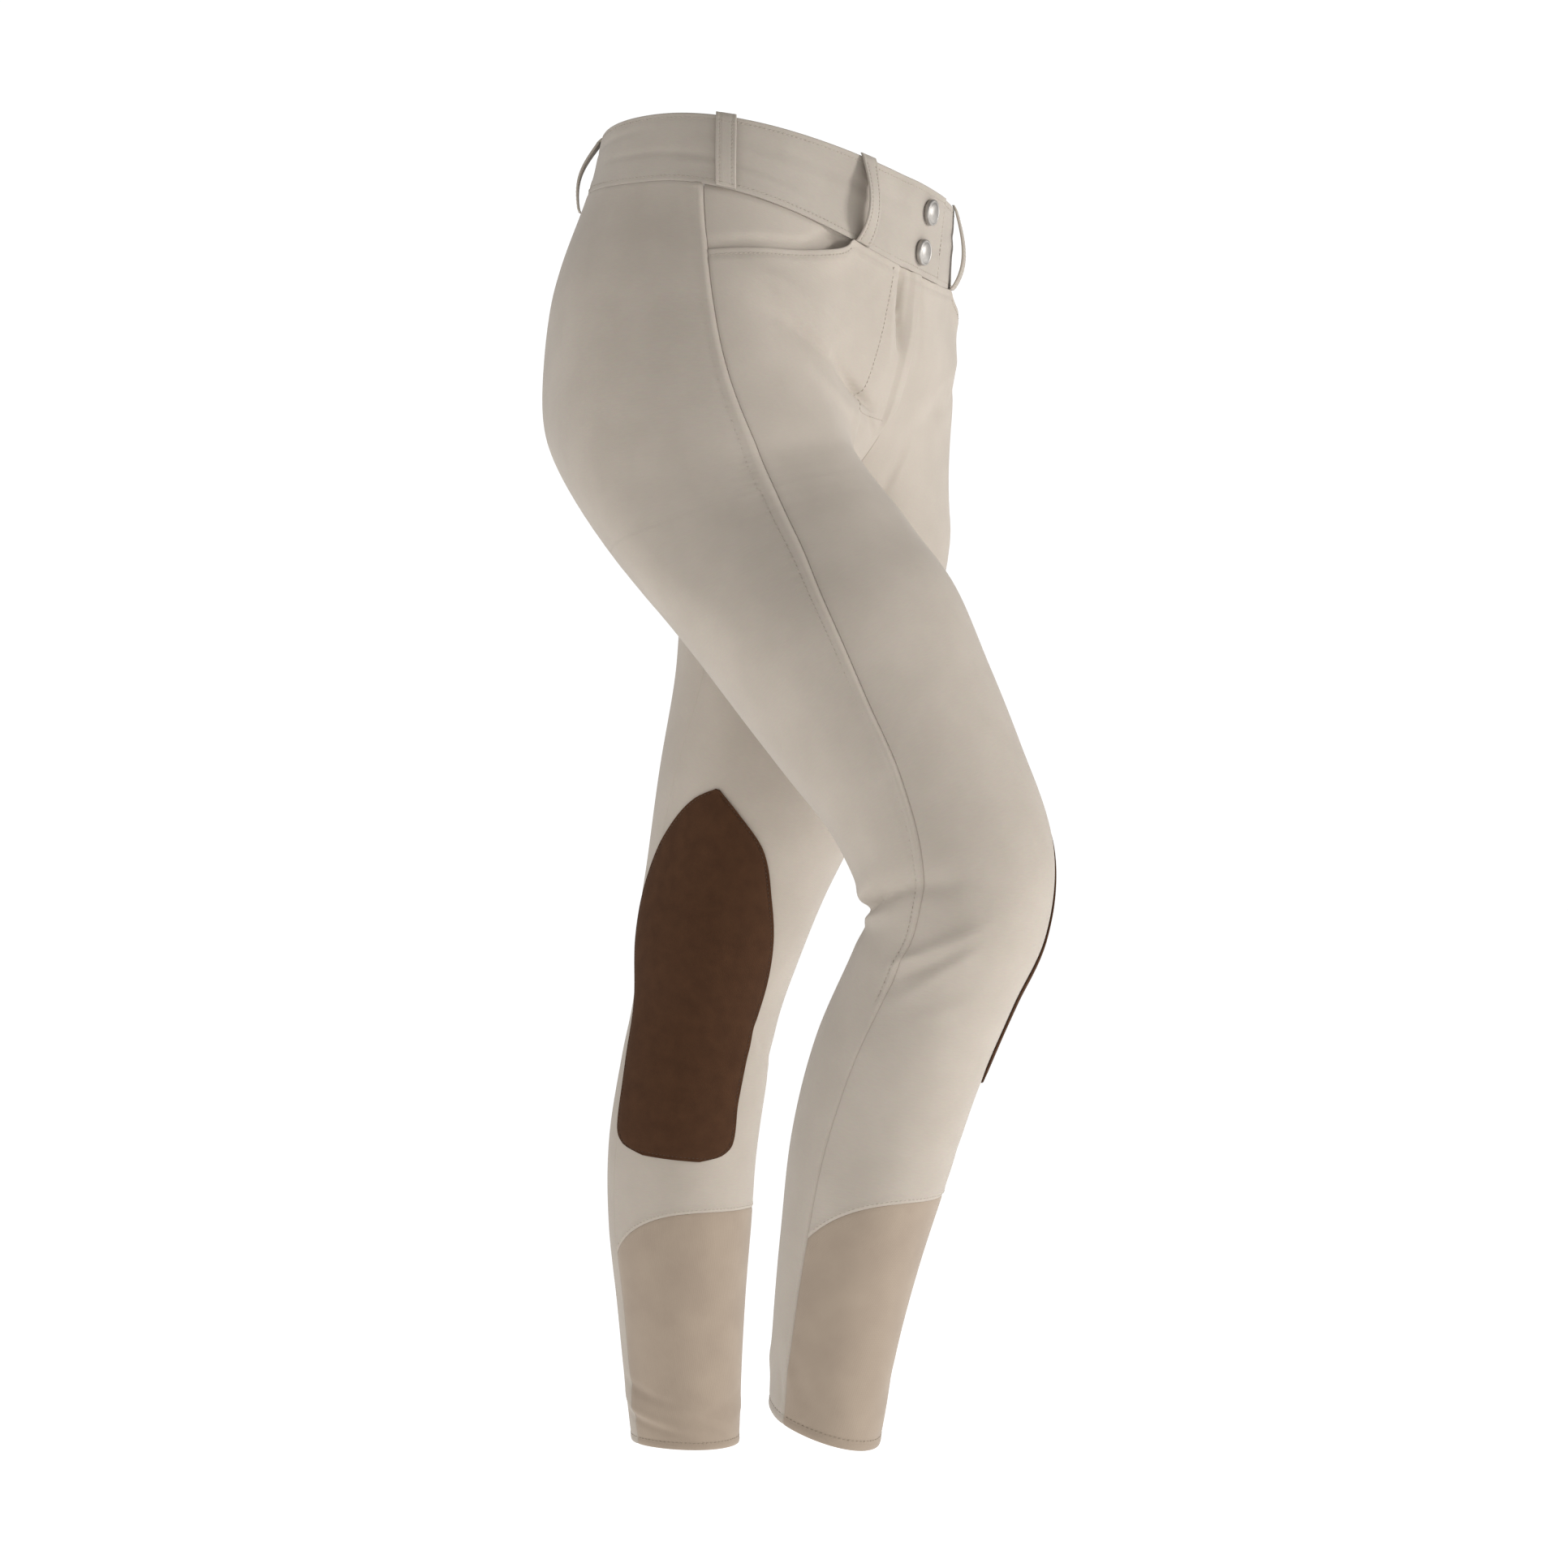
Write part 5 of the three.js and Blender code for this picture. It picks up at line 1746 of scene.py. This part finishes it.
@dataclass
class BeltLoop(ClothPiece):
    """A narrow folded strip that stands off the band and is caught above and below."""

    place_word: str = "side"
    around: float = 0.455
    stand_off: float = 3.8
    foot_down: float = BAND_END
    width: float = 13.0
    cloth: float = 1.8
    seat: float = 0.35
    rear_rise: float = 0.0
    cut: Cut = Cut(0.013, 0.062, 0.00068)

    @property
    def name(self) -> str:
        """The piece's name."""
        return f"loop_{self.place_word}_{self.side.word}_strip"

    def bulge(self, t: np.ndarray) -> np.ndarray:
        """How far the strip stands off along its length."""
        arch = np.sin(math.pi * np.clip(t, 0, 1) ** 1.25) ** 0.8
        return self.stand_off * arch

    def turn_over(self, t: np.ndarray) -> tuple[np.ndarray, np.ndarray]:
        """The strip's turn over the band's top edge.

        Args:
            t: Share of the way down the strip.

        Returns:
            How far the strip leans in, and how far it slides down the cloth, below zero upwards.
        """
        return 1.4 * (1 - smooth(t / 0.05)), -2.1 * (1 - smooth(t / 0.07))

    def build(self) -> None:
        """Makes the strip's wall, rounded at its folded edges."""
        across = spaced(-0.5, 0.5, 0.07, (0.012, 0.03, 0.055, 0.09, 0.14))
        t = spaced(0.0, 1.0, 0.02, (0.008, 0.017, 0.027, 0.04))
        share = np.broadcast_to(t[:, None], (len(t), len(across)))
        slide = np.broadcast_to(across * self.width, share.shape)
        down = mix(0.4, self.foot_down, share)
        around = np.full(share.shape, self.around)
        away = (0.5 - np.abs(slide / self.width)) * self.width
        fall = rim_fall(away, self.cloth * FREE_FALL, 0.9)
        press = 0.25 * np.exp(-(((away - 2.6) / 0.7) ** 2))
        lean, up = self.turn_over(share)
        tipped = self.rear_rise * np.sin(math.pi * share) * (slide / self.width + 0.5)
        lift = self.seat + self.bulge(share) - lean + tipped
        outer = FORM.place(self.side, around, down, lift + self.cloth - fall - press, slide, up)
        inner = FORM.place(self.side, around, down, lift + fall * 0.6, slide, up)
        uv = np.stack([slide, down], axis=-1)
        # The loop wears the darker band twill, whose darker colour is painted shade.
        self.made = cloth_wall(self.name, outer, inner, uv, SHADED_BAND_TWILL)

    def dress(self) -> None:
        node = f"loop_{self.place_word}_{self.side.word}"
        self.finish(SHADED_BAND_TWILL, self.cut, node, [f"waistband_{self.side.word}"])
        t = np.linspace(0.08, 0.96, 40)
        down = mix(0.4, self.foot_down, t)
        around = np.full(t.shape, self.around)
        out = FORM.ways(self.side, around, down)[2]
        lines = []
        for offset in (-0.3, 0.3):
            slide = np.full(t.shape, offset * self.width)
            tipped = self.rear_rise * np.sin(math.pi * t) * (offset + 0.5)
            lift = self.seat + self.bulge(t) + self.cloth - 0.15 + tipped
            lines.append(SewnLine(FORM.place(self.side, around, down, lift, slide), out))
        for level in (0.09, 0.955):
            slide = np.linspace(-0.38, 0.38, 12) * self.width
            spot = np.full(12, float(mix(0.4, self.foot_down, level)))
            lift = self.seat + self.bulge(np.full(12, level)) + self.cloth - 0.05
            points = FORM.place(self.side, np.full(12, self.around), spot, lift, slide)
            lines.append(SewnLine(points, np.repeat(out[:1] if level < 0.5 else out[-1:], 12, axis=0)))
        Stitching(f"stitches_{self.name}", lines, CLOTH_THREAD, 2.4, 1.9, 0.45, 0.3, 3).build(self.tree)


@dataclass
class SnapCap:
    """A satin metal cap on the tab: rolled rim, sunk ring and domed face."""

    name: str
    node: str
    around: float
    down: float
    radius: float = 8.4
    seat: float = LAP_LIFT + 0.3
    sides: int = 72

    def section(self) -> np.ndarray:
        """Radius and height of the cap's section, from its foot to its middle.

        Returns:
            Rows of radius and height in millimetres.
        """
        r = self.radius
        return np.array(
            [
                (r - 1.2, 0.0), (r - 0.6, 0.05), (r - 0.2, 0.4), (r, 1.1), (r, 2.3), (r - 0.1, 2.9),
                (r - 0.4, 3.35), (r - 0.9, 3.6), (r - 1.2, 3.62), (r - 1.45, 3.45), (r - 1.7, 3.4),
                (r - 2.1, 3.7), (r - 2.8, 4.05), (r - 4.0, 4.5), (r * 0.36, 4.78), (r * 0.16, 4.96),
            ]
        )

    def build(self) -> None:
        """Turns the section round the cap's own axis and sets it on the tab."""
        around, down = np.array([self.around]), np.array([self.down])
        centre = FORM.plain(Side.LEFT, around, down)[0]
        out = FORM.ways(Side.LEFT, around, down)[2][0]
        first = unit(np.cross(out, np.array([0.0, 0.0, 1.0])))
        second = np.cross(out, first)
        angle = np.linspace(0, 2 * math.pi, self.sides, endpoint=False)
        rows = self.section()
        ring = np.cos(angle)[:, None] * first + np.sin(angle)[:, None] * second
        points = [centre + out * (self.seat + height) + ring * radius for radius, height in rows]
        stack = np.concatenate(points + [centre[None] + out * (self.seat + 5.0), centre[None] + out * self.seat])
        faces = []
        for row in range(len(rows) - 1):
            for i in range(self.sides):
                j = (i + 1) % self.sides
                a, b = row * self.sides, (row + 1) * self.sides
                faces.append((a + i, a + j, b + j, b + i))
        last, middle, foot = (len(rows) - 1) * self.sides, len(stack) - 2, len(stack) - 1
        for i in range(self.sides):
            j = (i + 1) % self.sides
            faces.append((last + i, last + j, middle))
            faces.append((j, i, foot))
        self.made = mesh_piece(self.name, stack, faces, None, METAL)
        self.made.data.polygons.foreach_set("use_smooth", np.ones(len(self.made.data.polygons), bool))

    def dress(self) -> None:
        """Makes the cap stand for its node."""
        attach(self.made, BODY)
        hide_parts(self.node)
        LOG.info("%s: %d faces", self.name, len(self.made.data.polygons))


@dataclass
class Studio:
    """Pale floor, white surround, soft lamps and the camera."""

    azimuth: float = -62.0
    distance: float = 2.3
    lens: float = 80.4
    aim_height: float = -0.394
    aim_right: float = 0.0085
    floor_drop: float = 0.1

    def directions(self) -> tuple[Vector, Vector]:
        """Ways from the object towards the camera and to the picture's right.

        Returns:
            The two unit vectors.
        """
        turn = math.radians(90.0 - abs(self.azimuth))
        back = Vector((-math.cos(turn), -math.sin(turn), 0.0))
        right = Vector((math.sin(turn), -math.cos(turn), 0.0))
        return back, right

    def aim(self) -> Vector:
        """The point that the camera looks at."""
        return Vector((0.0, 0.0, self.aim_height)) + self.directions()[1] * self.aim_right

    def camera(self) -> None:
        """Sets the camera at the photograph's viewing angle."""
        back, _ = self.directions()
        data = bpy.data.cameras.new("photo_camera")
        data.lens = self.lens
        data.sensor_width = 36.0
        data.clip_end = 60.0
        camera = bpy.data.objects.new("photo_camera", data)
        camera.location = self.aim() + back * self.distance
        camera.rotation_euler = (-back).to_track_quat("-Z", "Y").to_euler()
        bpy.context.scene.collection.objects.link(camera)
        bpy.context.scene.camera = camera

    def lamp(self, name: str, right: float, back: float, up: float, size: float, power: float) -> None:
        """Adds a soft square lamp that faces the object.

        Args:
            name: The lamp's name.
            right: Metres to the picture's right of the aim.
            back: Metres towards the camera.
            up: Metres above the aim.
            size: Side of the lamp in metres.
            power: Its power in watts.
        """
        towards, across = self.directions()
        data = bpy.data.lights.new(name, "AREA")
        data.shape = "SQUARE"
        data.size = size
        data.energy = power
        lamp = bpy.data.objects.new(name, data)
        lamp.location = self.aim() + across * right + towards * back + Vector((0, 0, up))
        lamp.rotation_euler = (self.aim() - lamp.location).to_track_quat("-Z", "Y").to_euler()
        bpy.context.scene.collection.objects.link(lamp)

    def surround(self) -> None:
        """Lights the scene with a plain white surround, which is brighter to the eye than as a light."""
        world = bpy.data.worlds.new("white_surround")
        world.use_nodes = True
        tree = world.node_tree
        tree.nodes.clear()
        output = tree.nodes.new("ShaderNodeOutputWorld")
        seen = tree.nodes.new("ShaderNodeBackground")
        lit = tree.nodes.new("ShaderNodeBackground")
        seen.inputs["Color"].default_value = (1, 1, 1, 1)
        seen.inputs["Strength"].default_value = 1.05
        lit.inputs["Color"].default_value = (1.0, 0.99, 0.98, 1)
        lit.inputs["Strength"].default_value = 0.27
        path = tree.nodes.new("ShaderNodeLightPath")
        both = tree.nodes.new("ShaderNodeMixShader")
        tree.links.new(path.outputs["Is Camera Ray"], both.inputs[0])
        tree.links.new(lit.outputs[0], both.inputs[1])
        tree.links.new(seen.outputs[0], both.inputs[2])
        tree.links.new(both.outputs[0], output.inputs[0])
        bpy.context.scene.world = world

    def floor(self) -> None:
        """Lays the pale floor a little below the hems."""
        low = CAD_BOX[0][2] - self.floor_drop
        count, reach = 96, 14.0
        angle = np.linspace(0, 2 * math.pi, count, endpoint=False)
        rim = [(reach * math.cos(a), reach * math.sin(a), low) for a in angle]
        mesh = bpy.data.meshes.new("pale_floor")
        mesh.from_pydata([(0.0, 0.0, low)] + rim, [], [(0, i + 1, (i + 1) % count + 1) for i in range(count)])
        shader = Shader("pale_floor")
        cloud = shader.noise(shader.object_space(1.0), 400.0, 2.0)
        colour = shader.ramp(cloud, (0.93, 0.93, 0.93), (0.95, 0.95, 0.95), (0.3, 0.7))
        shader.join(colour, "Color", shader.surface, "Base Color")
        shader.surface.inputs["Roughness"].default_value = 0.9
        shader.surface.inputs["Emission Color"].default_value = (1, 1, 1, 1)
        shader.surface.inputs["Emission Strength"].default_value = 0.77
        mesh.materials.append(shader.material)
        floor = bpy.data.objects.new("pale_floor", mesh)
        bpy.context.scene.collection.objects.link(floor)

    def build(self) -> None:
        """Builds the camera, lamps, surround and floor."""
        self.camera()
        self.lamp("key_lamp", 2.5, 0.5, 0.5, 0.65, 37.0)
        self.lamp("front_lamp", 0.2, 2.8, 0.3, 0.8, 7.0)
        self.lamp("back_lamp", -2.0, 0.1, 0.2, 1.4, 8.0)
        self.surround()
        self.floor()
        view = bpy.context.scene.view_settings
        view.view_transform = "Standard"
        view.look = "None"


LOOPS = (
    ("front", {Side.RIGHT: 0.165, Side.LEFT: 0.19}, 7.2, BAND_END),
    ("side", {Side.RIGHT: 0.455, Side.LEFT: 0.455}, 3.8, BAND_END),
    ("back", {Side.RIGHT: 0.81, Side.LEFT: 0.81}, 7.0, 57.0),
)
REAR_RISE = 3.0
SNAPS = (("snap_upper_cap", "snap_upper", 0.012, 12.0), ("snap_lower_cap", "snap_lower", 0.0, 32.5))


def main() -> None:
    """Builds the breeches piece by piece, then the studio."""
    logging.basicConfig(level=logging.INFO, format="%(message)s")
    tree = StitchTree()
    for side in Side:
        gaps = {Edge.START: SEWN_TRIM, Edge.END: SEWN_TRIM, Edge.TOP: SEWN_TRIM}
        pieces = [
            Waistband(side, tree),
            FrontPanel(side, tree, trims=gaps),
            BackPanel(side, tree, trims=gaps),
            PocketFacing(side, tree, trims={Edge.END: SEWN_TRIM}),
            SockBottom(side, tree, trims=gaps),
            KneePatch(side, tree),
        ]
        for word, around, stand_off, foot in LOOPS:
            loop = BeltLoop(side, tree, place_word=word, around=around[side], stand_off=stand_off, foot_down=foot)
            loop.rear_rise = REAR_RISE if word == "front" and side is Side.RIGHT else 0.0
            pieces.append(loop)
        for piece in pieces:
            piece.build()
            piece.dress()
    for name, node, around, down in SNAPS:
        cap = SnapCap(name, node, around, down)
        cap.build()
        cap.dress()
    Studio().build()
    bpy.context.view_layer.update()


if __name__ == "__main__":
    main()
